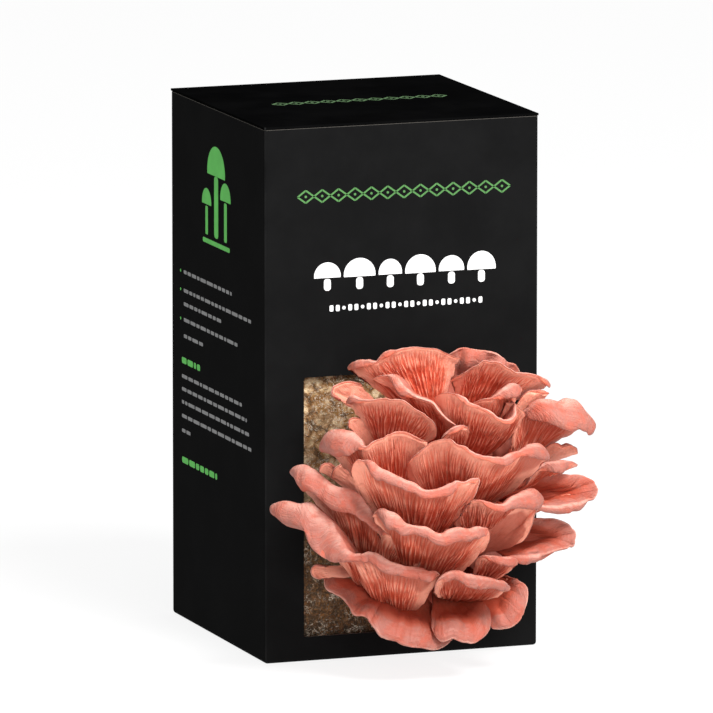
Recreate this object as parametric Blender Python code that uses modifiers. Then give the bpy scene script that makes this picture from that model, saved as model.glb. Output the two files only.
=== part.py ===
"""Oyster mushroom grow kit: a windowed carton with a hinged lid, the bagged growing block inside it,
and the cluster of oyster mushrooms that grows out of the window.

Frame: metres, +Z up, front towards -Y, origin at the centre of the carton's underside.
"""

import math

import bmesh
import bpy
from mathutils import Matrix, Vector
from mathutils.bvhtree import BVHTree

MM = 0.001

# Carton, in mm. Its board is one thickness throughout.
CARTON_WIDTH = 134.0
CARTON_DEPTH = 132.0
CARTON_HEIGHT = 250.0
BOARD = 1.0
FOLD_RADIUS = 1.6
LID_GAP = 0.3
FRONT = -CARTON_DEPTH / 2

# Window cut in the front wall.
WINDOW_LEFT, WINDOW_RIGHT = -48.0, 48.0
WINDOW_BOTTOM, WINDOW_TOP = 11.5, 133.0
WINDOW_CORNER = 1.2

# Tuck flap of the lid: it leans back so that it clears the front wall as the lid swings.
TUCK_WIDTH, TUCK_DROP, TUCK_LEAN = 120.0, 24.0, 3.2
TUCK_FRONT = FRONT + BOARD + 0.5
TUCK_CORNER = 8.0

# Grow bag and block.
BAG_FILM = 0.5
BAG_CLEARANCE = 1.1
BAG_SHOULDER, BAG_TOP = 208.0, 236.0
BAG_RIDGE_HALF_WIDTH, BAG_RIDGE_SHARE = 7.0, 0.9
BAG_CORNER, BLOCK_CORNER = 4.0, 5.0
SLIT_DEPTH = 8.0
BLOCK_GAP = 0.35
BLOCK_TOP = 205.0

# Cluster base: half an ellipsoid that stands in the bag's slit.
BASE_CENTRE = (2.0, 70.0)
BASE_RADII = (33.0, 34.0, 50.0)
BASE_BACK = -2.6
SLIT_CLEARANCE = 0.5

# Mushrooms. A place is (across, up, out) in mm: across and up are read on a plane SIGHT_OUT in front of
# the carton's face, along a line of sight that comes from the front, a little from the left and above,
# and out is the true distance in front of that face.
SIGHT_OUT = 50.0
SIGHT_ACROSS = -0.3615
SIGHT_UP = 0.1845
# The lines of sight meet at an eye far away, so what is nearer is drawn in a little towards the middle one.
EYE_TARGET = Vector((0.0, 0.0, 125.0))
EYE_BACK = Vector((-0.3349, -0.9266, 0.1710)).normalized()
EYE_DISTANCE = 5061.0
PIECE_GAP = 0.35
COLUMN_SPACING = 6.0
FLAT_ENOUGH = math.radians(3)
BLADE_ROWS = 4
FLESH = 2.2
SHORTEST_FOLD = 1.5
STEM_FLESH, NECK_FLESH = 4.6, 3.0
STEM_RING, NECK_RING = 3.6, 4.6
STEM_SPREAD, NECK_SPREAD = math.radians(115), math.radians(78)
NECK_FAN, BLADE_FAN = 0.30, 0.22
BLADE_REACH = 0.62
NECK_RUN = 0.45
SIDE_POWER = 8
FOLD_ARCH = 0.14
ROOT_OUT = 20.0
ROOT_PULL_ACROSS, ROOT_PULL_UP = 0.68, 0.74

# The way that a fold of the rim hangs: down along the line of sight's plane and a little outwards.
FOLD_DOWN = Vector((0.16, -0.41, -0.90))

# Caps whose wide end lobes hang out past a narrower blade: the blade's fan at the rim's start and its end.
LOBED = {
    "mushroom_04": (-0.45, BLADE_FAN),
    "mushroom_05": (-0.10, BLADE_FAN),
    "mushroom_06": (-0.20, BLADE_FAN),
}

COLOURS = {
    "board": (0.016, 0.016, 0.017),
    "film": (0.55, 0.50, 0.42),
    "block": (0.42, 0.31, 0.20),
    "base": (0.80, 0.50, 0.42),
    "mushroom": (0.78, 0.25, 0.17),
}

# One row for each mushroom: name, foot (across, up, out), size of its stem, how far out its rim stands at
# its two ends and its middle, how hollow its gilled side is, and the rim's points (across, up, lip).
# A rim that runs clockwise, seen from the front, shows its gills; the other way round it shows its top.
# A lip is the height of the pale edge that is seen, and over 3.7 mm it is a fold that hangs down.
MUSHROOMS = (
    ("mushroom_01", (16, 70, 54), 1.0, (64, 90, 62), 0.10, (
        (-15, 95, 1.6), (-14.6, 99.6, 3), (-12, 102.4, 2), (-7, 105.5, 1.2), (0, 108.5, 1),
        (7, 108.3, 1.2), (13, 105.6, 2.4), (19, 101.6, 2.6), (25, 99.8, 2.8), (31, 99.4, 4.2),
        (36, 100.5, 4.6), (41, 102.2, 3.2), (46, 104.2, 7.6), (50.5, 104.2, 9), (54, 101.5, 6),
        (54.8, 97, 1.5))),
    ("mushroom_02", (-3, 58, 56), 1.0, (62, 91, 84), 0.08, (
        (-41.4, 90.5, 1), (-42.8, 97, 1), (-40.5, 102, 1), (-36, 102.3, 2.5), (-32, 100.5, 6.5),
        (-27, 96.8, 6.6), (-20, 93.1, 5.4), (-13, 89.6, 5.3), (-6.5, 86.6, 4.4), (0, 85.8, 4.4),
        (6, 87.2, 5.2), (10, 89.3, 3), (14.5, 89, 2), (18, 89.6, 3), (20.8, 89.2, 1.6), (20.6, 85.5, 1),
        (17.6, 80, 1))),
    ("mushroom_03", (1, 36, 54), 1.0, (73, 91, 74), 0.08, (
        (-32.5, 75.5, 1), (-29, 78.3, 5.5), (-24, 77, 9.6), (-18, 73, 8), (-12.5, 69.4, 4.6),
        (-6, 67.6, 5.6), (0, 65.6, 5.9), (6, 66, 6.8), (12, 66.5, 6.8), (18, 66.8, 6.4),
        (22.5, 66.6, 4.4), (25.6, 64.4, 1.4), (26, 60.5, 1), (24, 56, 1))),
    ("mushroom_04", (-19, 20, 44), 1.1, (32, 68, 78), 0.06, (
        (-84, 81.5, 1), (-81.5, 84, 7), (-76, 85, 12), (-69, 83.8, 13), (-62, 82, 19), (-55.5, 75, 19),
        (-50, 67, 13.5), (-45, 60.2, 7), (-39, 58, 4.6), (-33, 57.4, 6), (-27.5, 55.5, 7.4),
        (-21, 52, 6.2), (-14, 49.6, 6), (-7, 48.9, 6.4), (-2, 47.2, 4.6), (1.4, 45, 1.4))),
    ("mushroom_05", (-26, 40, 44), 0.9, (34, 66, 66), 0.06, (
        (-74, 98.5, 1), (-71.5, 100.8, 6), (-67, 101.4, 13), (-62.5, 99.5, 11.5), (-57, 94, 11),
        (-51, 90.5, 12.4), (-44, 88.5, 12.5), (-38, 84.5, 10.8), (-33, 76.5, 6.6), (-29, 72, 7),
        (-25.5, 66.8, 2.6), (-20, 64.8, 1.6), (-14, 63, 1), (-8.5, 58.3, 1), (-8, 54, 1), (-10, 49, 1))),
    ("mushroom_06", (-25, 80, 48), 0.9, (42, 74, 68), 0.08, (
        (-58, 109, 3), (-57.5, 113, 7), (-53.5, 116.6, 12.6), (-48, 117.4, 13.4), (-43, 115.4, 11.2),
        (-39.5, 111.5, 6.3), (-36.5, 108.8, 2.4), (-33, 109.8, 1.6), (-28, 111.5, 1.3), (-24, 113, 1.2),
        (-20, 114.2, 1.9), (-15, 113.3, 2), (-9, 110.6, 1.8), (-5, 108.3, 1.4))),
    ("mushroom_07", (23, 100, 48), 0.9, (52, 76, 56), 0.10, (
        (-1.4, 129.6, 1.2), (3, 131, 1.2), (8, 130.6, 1.2), (12, 129.2, 3), (16, 126.4, 2.6),
        (21, 123.6, 2.3), (26, 121.9, 2.4), (30, 119, 2.4), (33.5, 117, 2.6), (36.7, 116.8, 2.8),
        (39, 119.5, 2.2), (39, 123, 1.6), (37.6, 125.6, 1))),
    ("mushroom_08", (-20, 107, 42), 0.9, (38, 64, 56), 0.10, (
        (-45.5, 131, 3), (-43, 132.8, 4.6), (-38.5, 131.2, 3), (-33, 130.3, 1.6), (-27, 130, 1.3),
        (-21, 129.5, 1.2), (-16, 128, 1), (-11, 124.6, 1), (-6, 120.8, 1), (-2, 117.4, 1),
        (-0.3, 113.5, 1), (-1.2, 110, 1))),
    ("mushroom_09", (-4, 128, 24), 0.9, (24, 42, 28), 0.10, (
        (-45, 147, 3), (-41, 149.3, 4.4), (-35, 149.2, 3.3), (-30.3, 148.4, 2), (-25.5, 152.6, 3.2),
        (-20, 153.6, 2), (-11, 154, 1), (-3, 152.7, 1), (3, 150.4, 1), (7.5, 148.3, 1.2),
        (11, 147.7, 1))),
    ("mushroom_10", (20, 127, 30), 0.9, (34, 52, 40), 0.10, (
        (6.4, 137, 1), (11, 138.9, 1), (15, 140.7, 1), (19.7, 143.7, 1.1), (24.5, 144.9, 1.1),
        (29.6, 144.4, 1.1), (34.5, 142, 1.2), (40, 138.6, 1.3), (45.7, 137.4, 1.4), (50, 136.7, 2),
        (54, 135, 3.4), (56.6, 132.4, 3))),
    ("mushroom_11", (43, 96, 34), 0.9, (42, 50, 36), 0.08, (
        (37.5, 108, 1), (39.5, 113.5, 1), (42.5, 119, 3), (46, 123.2, 9), (50, 125.4, 12.5),
        (55, 125.3, 15), (60, 124.4, 16), (65, 125.2, 16.5), (69, 123.8, 17), (72.5, 120, 15),
        (75.8, 116.4, 8.5), (77.8, 113.8, 3))),
    ("mushroom_12", (42, 80, 34), 0.9, (66, 48, 42), -0.12, (
        (42, 77, 2), (49, 76, 2.8), (55.6, 75, 3.4), (61.2, 74.6, 4), (66, 75, 4.8), (71, 76, 4),
        (75, 77, 1.8), (77.9, 76.9, 1.2), (80.2, 80.9, 1.2), (78.5, 83.9, 1.2), (76, 86.2, 1.2),
        (71, 88.4, 1.2), (64, 89.1, 1.2), (57, 89.2, 1.2), (49, 89.5, 1.2))),
    ("mushroom_13", (36, 60, 36), 0.9, (60, 46, 42), -0.12, (
        (36, 52.5, 3), (40.5, 52.4, 4.2), (45.5, 52, 4.6), (50, 52, 4.2), (55, 53.2, 3), (60, 54.2, 2),
        (65, 54.6, 1.4), (68, 56, 1.2), (69, 60, 1.2), (67.4, 63.4, 1.2), (64.5, 66.2, 1.2),
        (59, 68.3, 1.2), (52, 69.2, 1.2), (44, 69, 1.2))),
    ("mushroom_14", (26, 60, 50), 0.8, (64, 82, 58), 0.08, (
        (6.7, 73, 1), (9, 75.6, 1), (12.5, 77.4, 1), (16, 79.4, 1), (20.5, 79.3, 1.4), (25.5, 78.2, 3.2),
        (31, 77.2, 4), (36, 78.6, 5.4), (40, 81.2, 7.5), (44.5, 83.3, 10.6), (48.5, 83.1, 9.4),
        (50, 80, 5))),
    ("mushroom_15", (18, 27, 50), 0.9, (80, 82, 66), 0.06, (
        (-1.6, 37, 1), (-0.4, 42, 1.2), (3.5, 45.6, 4.4), (9, 46.3, 5.4), (14, 45.1, 6.4), (20, 44, 6.8),
        (27, 42.1, 5), (32, 40.6, 5.4), (35, 39, 3.8), (36.5, 36.8, 1.2))),
    ("mushroom_16", (-14, 34, 38), 0.9, (34, 66, 64), 0.16, (
        (-56.7, 47, 1.4), (-55.2, 42, 1.4), (-48, 38, 1.4), (-44, 33.4, 1.4), (-41.5, 29, 1.4),
        (-36, 28, 1.4), (-32.8, 24.4, 1.6), (-28.5, 19.2, 1.8), (-21, 15.6, 1.8), (-13, 12.6, 1.8),
        (-7, 11.7, 1.8), (-1, 10.8, 1.8), (4, 12.2, 1.6), (7.6, 14.6, 1.4))),
    ("mushroom_17", (10, 34, 40), 0.8, (66, 72, 56), 0.16, (
        (-3, 21.2, 1.4), (-0.8, 16.8, 1.6), (2.4, 14.5, 1.8), (7, 14.8, 1.8), (13, 13.4, 1.8),
        (18.5, 12.8, 1.8), (23.2, 15.4, 1.6), (26, 18.8, 1.4), (26.4, 24, 1.4), (25, 28.7, 1.3))),
    ("mushroom_18", (30, 39, 36), 0.8, (56, 58, 46), 0.14, (
        (27.3, 18.6, 1.6), (32, 18.4, 1.8), (37.8, 19.8, 1.8), (41.8, 23.2, 1.6), (43.4, 27, 1.4),
        (45, 31, 1.3), (44.5, 36.9, 1.3), (41, 40, 1.3), (37.5, 40.8, 1.3))),
    ("mushroom_19", (26, 52, 46), 0.8, (56, 64, 56), 0.04, (
        (22, 66, 1), (28, 70, 1), (34, 73, 1), (40, 75.5, 1), (46, 76.6, 1), (49.8, 74.5, 1),
        (48.8, 70.8, 1.2), (47.3, 66.5, 1.3), (45.3, 62, 1.2), (42.3, 58.4, 1))),
    ("mushroom_20", (8, 108, 40), 0.8, (34, 56, 66), 0.08, (
        (-33, 139.4, 1), (-29, 141.2, 1), (-25, 141.4, 1.5), (-21, 140.4, 4.6), (-17, 136.6, 5.4),
        (-13, 132.6, 3), (-8, 129.6, 2.2), (-3, 127, 1.8), (1, 122.6, 1.4), (5, 118.6, 1.3),
        (9.5, 115.6, 1))),
    ("mushroom_21", (32, 111, 40), 0.8, (58, 66, 52), 0.08, (
        (17.5, 125.4, 1), (22, 127, 1.6), (27, 128.2, 2.2), (30.5, 129.8, 3.6), (33.5, 132, 6),
        (36.5, 133.7, 7.4), (38.8, 133.8, 6), (41, 132.3, 1.2), (42.5, 130.6, 1))),
    ("mushroom_22", (18, 128, 14), 0.8, (16, 22, 16), -0.06, (
        (41.5, 138.5, 1), (39, 142.4, 1), (35, 143.7, 1), (33, 145.8, 1), (28, 148.8, 1), (21, 150.4, 1),
        (15.4, 151.7, 1), (9.8, 151, 1), (5, 149, 1))),
    ("mushroom_23", (44, 82, 38), 0.7, (46, 52, 38), 0.06, (
        (45.5, 86.5, 1), (49.8, 92.6, 2.2), (55, 95.4, 5), (60, 95.9, 6.8), (64.5, 95.6, 3.6),
        (68.5, 94.3, 1.8), (70.5, 93.2, 1))),
    ("mushroom_24", (54, 96, 30), 0.6, (34, 38, 34), 0.06, (
        (56, 103.6, 1), (59.5, 104.2, 1), (62.5, 103, 2), (66, 103.4, 2.2), (69, 101.8, 2),
        (70, 98.8, 1.5))),
    ("mushroom_25", (42, 113, 34), 0.6, (42, 46, 46), 0.06, (
        (40, 124, 1), (44.5, 128.9, 1), (49.4, 130, 2.2), (53.5, 129.6, 2.4), (56, 127.8, 1))),
    ("mushroom_26", (-32, 130, 20), 0.7, (32, 34, 28), 0.10, (
        (-49.5, 132.2, 1.4), (-52.6, 134.2, 1.4), (-52.2, 137.2, 1.4), (-49, 138.8, 1.4),
        (-44, 139.6, 1.4), (-38, 138, 1.4))),
    ("mushroom_27", (-32, 111, 22), 0.6, (27, 28, 26), 0.10, (
        (-44.4, 117.6, 1.2), (-44, 121.2, 1.2), (-41, 122.2, 1.2), (-37.5, 121, 1.2))),
    ("mushroom_28", (-45, 88, 24), 0.6, (30, 32, 30), 0.10, (
        (-59, 97.4, 1.2), (-58.4, 100.4, 1.2), (-55.6, 101.6, 1.2), (-52.6, 99.8, 1.2),
        (-50.4, 96.6, 1.2))),
    ("mushroom_29", (-39, 86, 28), 0.6, (36, 38, 36), 0.10, (
        (-53, 94.6, 1.2), (-52, 98.6, 1.2), (-47, 101, 1.2), (-43.4, 99, 1.2))),
    ("mushroom_30", (-47, 44, 22), 0.6, (28, 30, 28), 0.10, (
        (-58.6, 46.8, 1.2), (-62, 48.2, 1.2), (-63.3, 50.6, 1.2), (-61.5, 53.2, 1.2),
        (-56.5, 52.8, 1.2))),
    ("mushroom_31", (12, 102, 54), 0.6, (64, 68, 64), 0.06, (
        (2, 109.6, 1.2), (4.5, 112.3, 2.4), (8, 114.8, 3.2), (11.7, 115.6, 2.6), (14.8, 114.4, 1.6),
        (16.3, 112, 1))),
    ("mushroom_32", (37, 105, 42), 0.6, (60, 58, 52), 0.06, (
        (34.5, 125, 1), (39.5, 123.4, 1), (42.4, 120.8, 1), (44, 118.4, 1))),
    ("mushroom_33", (28, 36, 46), 0.7, (66, 72, 62), 0.06, (
        (19.5, 52, 1), (23.3, 53.2, 2), (28, 52.4, 4), (33, 52, 4.8), (37, 51.8, 4.6), (39.6, 50.4, 2),
        (40, 48, 1))),
)


def place(across, up, out):
    """The point in metres of a place given along the line of sight."""
    beyond = out - SIGHT_OUT
    spot = Vector((across + SIGHT_ACROSS * beyond, FRONT - out, up + SIGHT_UP * beyond)) - EYE_TARGET
    nearness = spot.dot(EYE_BACK)
    return (EYE_TARGET + spot - (spot - EYE_BACK * nearness) * (nearness / EYE_DISTANCE)) * MM


def blend(a, b, share):
    return a + (b - a) * share


def smoothstep(share):
    share = min(max(share, 0.0), 1.0)
    return share * share * (3 - 2 * share)


def along(points, share):
    """A smooth curve through the points, read at a share of its length from 0 to 1."""
    reach = share * (len(points) - 1)
    index = min(int(reach), len(points) - 2)
    t = reach - index
    before = points[max(index - 1, 0)]
    start, end = points[index], points[index + 1]
    after = points[min(index + 2, len(points) - 1)]
    leave, arrive = (end - before) * 0.5, (after - start) * 0.5
    return (start * (2 * t**3 - 3 * t**2 + 1) + leave * (t**3 - 2 * t**2 + t)
            + end * (3 * t**2 - 2 * t**3) + arrive * (t**3 - t**2))


def bezier(start, handle, far_handle, end, t):
    s = 1 - t
    return start * s**3 + handle * 3 * s * s * t + far_handle * 3 * s * t * t + end * t**3


class Mushroom:
    """One cap with its stem: a sheet of flesh that leaves a round stem and fans out to its rim."""

    def __init__(self, name, foot, size, outs, hollow, rim):
        self.name, self.size, self.hollow = name, size, hollow
        self.foot = place(*foot)
        core = Vector((BASE_CENTRE[0] * MM, (FRONT - ROOT_OUT) * MM, BASE_CENTRE[1] * MM))
        self.root = Vector((blend(core.x, self.foot.x, ROOT_PULL_ACROSS), core.y,
                            blend(core.z, self.foot.z, ROOT_PULL_UP)))
        last = len(rim) - 1
        self.crest, self.lips = [], []
        for index, (across, up, lip) in enumerate(rim):
            share = index / last
            out = (outs[0] * (1 - share) * (1 - 2 * share) + outs[1] * 4 * share * (1 - share)
                   + outs[2] * share * (2 * share - 1))
            self.crest.append(place(across, up - 0.5 * min(lip, FLESH), out))
            self.lips.append(Vector((lip, 0, 0)))
        self.rim_length = sum((b - a).length for a, b in zip(self.crest, self.crest[1:]))
        self.folds = max(lip.x for lip in self.lips) > FLESH + SHORTEST_FOLD
        self.axis = (self.foot - self.root).normalized()
        span = self.crest[-1] - self.crest[0]
        self.side = (span - self.axis * span.dot(self.axis)).normalized()
        self.under = self.side.cross(self.axis).normalized()
        self.spread = [(self.crest[end] - self.foot).dot(self.side) for end in (0, -1)]

    def ring(self, share, radius, spread):
        turn = (2 * share - 1) * spread
        return (self.under * math.cos(turn) + self.side * math.sin(turn)) * radius * self.size * MM

    def sheet(self, share, run):
        """The middle of the flesh: share goes 0 to 1 along the rim, and run 0 to 1 from the root to it."""
        crest = along(self.crest, share)
        reach = crest - self.foot
        outward = self.side.cross(reach).normalized()
        sideways = self.side * reach.dot(self.side)
        neck = self.side * blend(*self.spread, share)
        handle = self.foot + self.ring(share, NECK_RING, NECK_SPREAD) + neck * NECK_FAN
        fan = blend(*LOBED.get(self.name, (BLADE_FAN, BLADE_FAN)), share)
        far_handle = self.foot + reach * BLADE_REACH + sideways * fan - outward * self.hollow * reach.length
        start = self.root + self.ring(share, STEM_RING, STEM_SPREAD)
        return bezier(start, handle, far_handle, crest, run)

    def side_taper(self, share):
        return math.sqrt(max(1 - (2 * share - 1)**SIDE_POWER, 0.0))

    def flesh(self, share, run):
        """Thickness of the flesh in metres, nothing at the two side edges."""
        rim = min(max(along(self.lips, share).x, 1.0), FLESH)
        if run < NECK_RUN:
            thick = blend(STEM_FLESH * self.size, NECK_FLESH * self.size, smoothstep(run / NECK_RUN))
        else:
            thick = blend(NECK_FLESH * self.size, rim, smoothstep((run - NECK_RUN) / (1 - NECK_RUN)))
        return thick * self.side_taper(share) * MM

    def normal(self, share, run):
        """Out of the gilled side."""
        low, high = max(share - 0.01, 0), min(share + 0.01, 1)
        near, far = max(run - 0.01, 0), min(run + 0.01, 1)
        across = self.sheet(high, run) - self.sheet(low, run)
        up = self.sheet(share, far) - self.sheet(share, near)
        return across.cross(up).normalized()

    def section(self, share):
        """The points round the flesh at one place of the rim: gilled side, lip, top side."""
        blade = [row / BLADE_ROWS for row in range(BLADE_ROWS)]
        gilled, top = [], []
        for run in blade:
            middle, half = self.sheet(share, run), self.normal(share, run) * self.flesh(share, run) / 2
            gilled.append(middle + half)
            top.append(middle - half)
        crest, normal = self.sheet(share, 1), self.normal(share, 1)
        onward = (crest - self.sheet(share, 0.97)).normalized()
        thick = self.flesh(share, 1)
        inner = crest + normal * thick * 0.5 - onward * thick * 0.3
        outer = crest + onward * thick * 0.5 - normal * thick * 0.1
        if not self.folds:
            return gilled + [inner, outer, crest - normal * thick * 0.5 - onward * thick * 0.3] + top[::-1]
        drop = max(along(self.lips, share).x - FLESH, 0.0)
        hang = (FOLD_DOWN + normal * 0.5).normalized()
        face = (normal + onward * 0.8).normalized()
        face = (face - hang * face.dot(hang)).normalized()
        end = (inner + outer) / 2 + hang * drop * MM + normal * thick * 0.4 * min(drop, 1)
        edge = face * thick * 0.32
        arch = face * drop * FOLD_ARCH * MM
        return gilled + [inner, end - edge, end + edge, (end + edge + outer) / 2 + arch, outer,
                         crest - normal * thick * 0.5 - onward * thick * 0.3] + top[::-1]


def mushroom_mesh(mushroom):
    """A closed skin made of the sections along the rim."""
    columns = max(5, round(mushroom.rim_length / (COLUMN_SPACING * MM)))
    points = len(mushroom.section(0.5))
    mesh = bmesh.new()
    bmesh.ops.create_grid(mesh, x_segments=columns, y_segments=points - 1, size=1.0)
    sections = [mushroom.section(column / columns) for column in range(columns + 1)]
    for vertex in mesh.verts:
        column = round((vertex.co.x + 1) / 2 * columns)
        point = round((vertex.co.y + 1) / 2 * (points - 1))
        vertex.co = sections[column][point]
    bmesh.ops.remove_doubles(mesh, verts=mesh.verts, dist=0.02 * MM)
    open_edges = [edge for edge in mesh.edges if edge.is_boundary]
    bmesh.ops.holes_fill(mesh, edges=open_edges)
    bmesh.ops.triangulate(mesh, faces=mesh.faces)
    return mesh


def material(name, colour, roughness=0.6, alpha=1.0):
    found = bpy.data.materials.new(name)
    found.use_nodes = True
    shader = found.node_tree.nodes["Principled BSDF"]
    shader.inputs["Base Color"].default_value = (*colour, 1)
    shader.inputs["Roughness"].default_value = roughness
    shader.inputs["Metallic"].default_value = 0.0
    shader.inputs["Alpha"].default_value = alpha
    found.diffuse_color = (*colour, 1)
    return found


def new_object(name, mesh, look, collection):
    """A scene object made from a bmesh, which is freed."""
    data = bpy.data.meshes.new(name)
    mesh.to_mesh(data)
    mesh.free()
    made = bpy.data.objects.new(name, data)
    collection.objects.link(made)
    if look is not None:
        data.materials.append(look)
    return made


def box_mesh(low, high):
    """A box between two corners, in mm."""
    mesh = bmesh.new()
    bmesh.ops.create_cube(mesh, size=1.0)
    size = [b - a for a, b in zip(low, high)]
    middle = [(a + b) / 2 for a, b in zip(low, high)]
    bmesh.ops.scale(mesh, vec=Vector(size) * MM, verts=mesh.verts)
    bmesh.ops.translate(mesh, vec=Vector(middle) * MM, verts=mesh.verts)
    return mesh


def bevel_edges(mesh, chosen, radius, segments):
    bmesh.ops.bevel(mesh, geom=[edge for edge in mesh.edges if chosen(edge)], offset=radius * MM,
                    segments=segments, profile=0.5, affect="EDGES", material=-1)


def is_upright(edge):
    run = edge.verts[1].co - edge.verts[0].co
    return abs(run.z) > 0.9 * run.length


def is_low(edge):
    return max(vertex.co.z for vertex in edge.verts) < BOARD * MM


def along_y(edge):
    run = edge.verts[1].co - edge.verts[0].co
    return abs(run.y) > 0.9 * run.length


def cut(target, cutter, operation="DIFFERENCE"):
    boolean = target.modifiers.new(operation.title(), "BOOLEAN")
    boolean.operation = operation
    boolean.object = cutter
    return boolean


def hide_cutter(cutter):
    cutter.hide_render = True
    cutter.display_type = "WIRE"


def make_carton(collection, cutters, board):
    """Four walls and a base of one folded sheet, open at the top, with the window cut in its front."""
    top = CARTON_HEIGHT - BOARD - LID_GAP
    mesh = box_mesh((-CARTON_WIDTH / 2, FRONT, 0), (CARTON_WIDTH / 2, -FRONT, top))
    bevel_edges(mesh, lambda edge: is_upright(edge) or is_low(edge), FOLD_RADIUS, 3)
    open_top = [face for face in mesh.faces if face.normal.z > 0.9]
    bmesh.ops.delete(mesh, geom=open_top, context="FACES_ONLY")
    carton = new_object("carton", mesh, board, collection)
    wall = carton.modifiers.new("Board", "SOLIDIFY")
    wall.thickness = BOARD * MM
    wall.offset = -1
    wall.use_even_offset = True
    opening = box_mesh((WINDOW_LEFT, FRONT - 5, WINDOW_BOTTOM), (WINDOW_RIGHT, FRONT + 5, WINDOW_TOP))
    bevel_edges(opening, along_y, WINDOW_CORNER, 3)
    cutter = new_object("window_cutter", opening, None, cutters)
    hide_cutter(cutter)
    cut(carton, cutter)
    return carton


def make_lid(collection, board):
    """The top panel with its tuck flap. Its origin is on the fold along the back wall's top edge."""
    hinge = Vector((0, -FRONT, CARTON_HEIGHT - BOARD)) * MM
    mesh = box_mesh((-CARTON_WIDTH / 2, FRONT, CARTON_HEIGHT - BOARD),
                    (CARTON_WIDTH / 2, -FRONT, CARTON_HEIGHT))
    low, high = TUCK_FRONT, TUCK_FRONT + BOARD
    for across in (-TUCK_WIDTH / 2, TUCK_WIDTH / 2):
        plane = Vector((across, 0, 0)) * MM
        bmesh.ops.bisect_plane(mesh, geom=mesh.verts[:] + mesh.edges[:] + mesh.faces[:], plane_co=plane,
                               plane_no=(1, 0, 0))
    for depth in (low, high):
        plane = Vector((0, depth, 0)) * MM
        bmesh.ops.bisect_plane(mesh, geom=mesh.verts[:] + mesh.edges[:] + mesh.faces[:], plane_co=plane,
                               plane_no=(0, 1, 0))
    mesh.faces.ensure_lookup_table()
    strip = [face for face in mesh.faces if face.normal.z < -0.9 and abs(face.calc_center_median().x) < 0.01
             and low * MM < face.calc_center_median().y < high * MM]
    grown = bmesh.ops.extrude_face_region(mesh, geom=strip)
    bmesh.ops.delete(mesh, geom=strip, context="FACES_ONLY")
    tips = [item for item in grown["geom"] if isinstance(item, bmesh.types.BMVert)]
    bmesh.ops.translate(mesh, vec=Vector((0, TUCK_LEAN, -TUCK_DROP)) * MM, verts=tips)
    corners = [edge for edge in mesh.edges if all(vertex in tips for vertex in edge.verts) and along_y(edge)]
    bmesh.ops.bevel(mesh, geom=corners, offset=TUCK_CORNER * MM, segments=4, profile=0.5, affect="EDGES",
                    material=-1)
    bmesh.ops.translate(mesh, vec=-hinge, verts=mesh.verts)
    lid = new_object("lid", mesh, board, collection)
    lid.location = hinge
    return lid


def ellipse_share(depth):
    """How wide the cluster base is at a depth behind or in front of the carton's face, from 0 to 1."""
    return math.sqrt(max(1 - (depth / BASE_RADII[1])**2, 0))


def make_bag(collection, cutters, film):
    """A film round the block, closed over its top in a ridge, with the slit that the cluster stands in."""
    half = CARTON_WIDTH / 2 - BOARD - BAG_CLEARANCE
    deep = CARTON_DEPTH / 2 - BOARD - BAG_CLEARANCE
    floor = BOARD + LID_GAP
    mesh = box_mesh((-half, -deep, floor), (half, deep, BAG_SHOULDER))
    top = [face for face in mesh.faces if face.normal.z > 0.9]
    grown = bmesh.ops.extrude_face_region(mesh, geom=top)
    bmesh.ops.delete(mesh, geom=top, context="FACES_ONLY")
    for item in grown["geom"]:
        if isinstance(item, bmesh.types.BMVert):
            ridge = math.copysign(BAG_RIDGE_HALF_WIDTH * MM, item.co.y)
            item.co = Vector((item.co.x * BAG_RIDGE_SHARE, ridge, BAG_TOP * MM))
    bevel_edges(mesh, is_upright, BAG_CORNER, 2)
    bag = new_object("grow_bag", mesh, film, collection)
    wall = bag.modifiers.new("Film", "SOLIDIFY")
    wall.thickness = BAG_FILM * MM
    wall.offset = -1
    slit = bmesh.new()
    bmesh.ops.create_cone(slit, cap_ends=True, segments=24, radius1=MM, radius2=MM,
                          depth=SLIT_DEPTH * MM)
    bmesh.ops.rotate(slit, matrix=Matrix.Rotation(math.pi / 2, 3, "X"), verts=slit.verts)
    wide, tall = BASE_RADII[0] + SLIT_CLEARANCE, BASE_RADII[2] + SLIT_CLEARANCE
    bmesh.ops.scale(slit, vec=Vector((wide, 1, tall)), verts=slit.verts)
    middle = Vector((BASE_CENTRE[0], -deep, BASE_CENTRE[1])) * MM
    bmesh.ops.translate(slit, vec=middle, verts=slit.verts)
    cutter = new_object("slit_cutter", slit, None, cutters)
    hide_cutter(cutter)
    cut(bag, cutter)
    return bag


def make_block(collection, look):
    """The pressed block that fills the bag."""
    inset = BOARD + BAG_CLEARANCE + BAG_FILM + BLOCK_GAP
    half, deep = CARTON_WIDTH / 2 - inset, CARTON_DEPTH / 2 - inset
    floor = BOARD + LID_GAP + BAG_FILM + BLOCK_GAP
    mesh = box_mesh((-half, -deep, floor), (half, deep, BLOCK_TOP))
    bevel_edges(mesh, is_upright, BLOCK_CORNER, 2)
    return new_object("substrate_block", mesh, look, collection)


def base_mesh():
    """Half an ellipsoid with a flat back, which stands on the block's front in the bag's slit."""
    mesh = bmesh.new()
    bmesh.ops.create_uvsphere(mesh, u_segments=16, v_segments=10, radius=MM)
    bmesh.ops.scale(mesh, vec=Vector(BASE_RADII), verts=mesh.verts)
    centre = Vector((BASE_CENTRE[0], FRONT, BASE_CENTRE[1])) * MM
    bmesh.ops.translate(mesh, vec=centre, verts=mesh.verts)
    back = Vector((0, FRONT - BASE_BACK, 0)) * MM
    parts = mesh.verts[:] + mesh.edges[:] + mesh.faces[:]
    bmesh.ops.bisect_plane(mesh, geom=parts, plane_co=back, plane_no=(0, 1, 0), clear_outer=True)
    bmesh.ops.holes_fill(mesh, edges=[edge for edge in mesh.edges if edge.is_boundary])
    bmesh.ops.triangulate(mesh, faces=mesh.faces)
    return mesh


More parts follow.
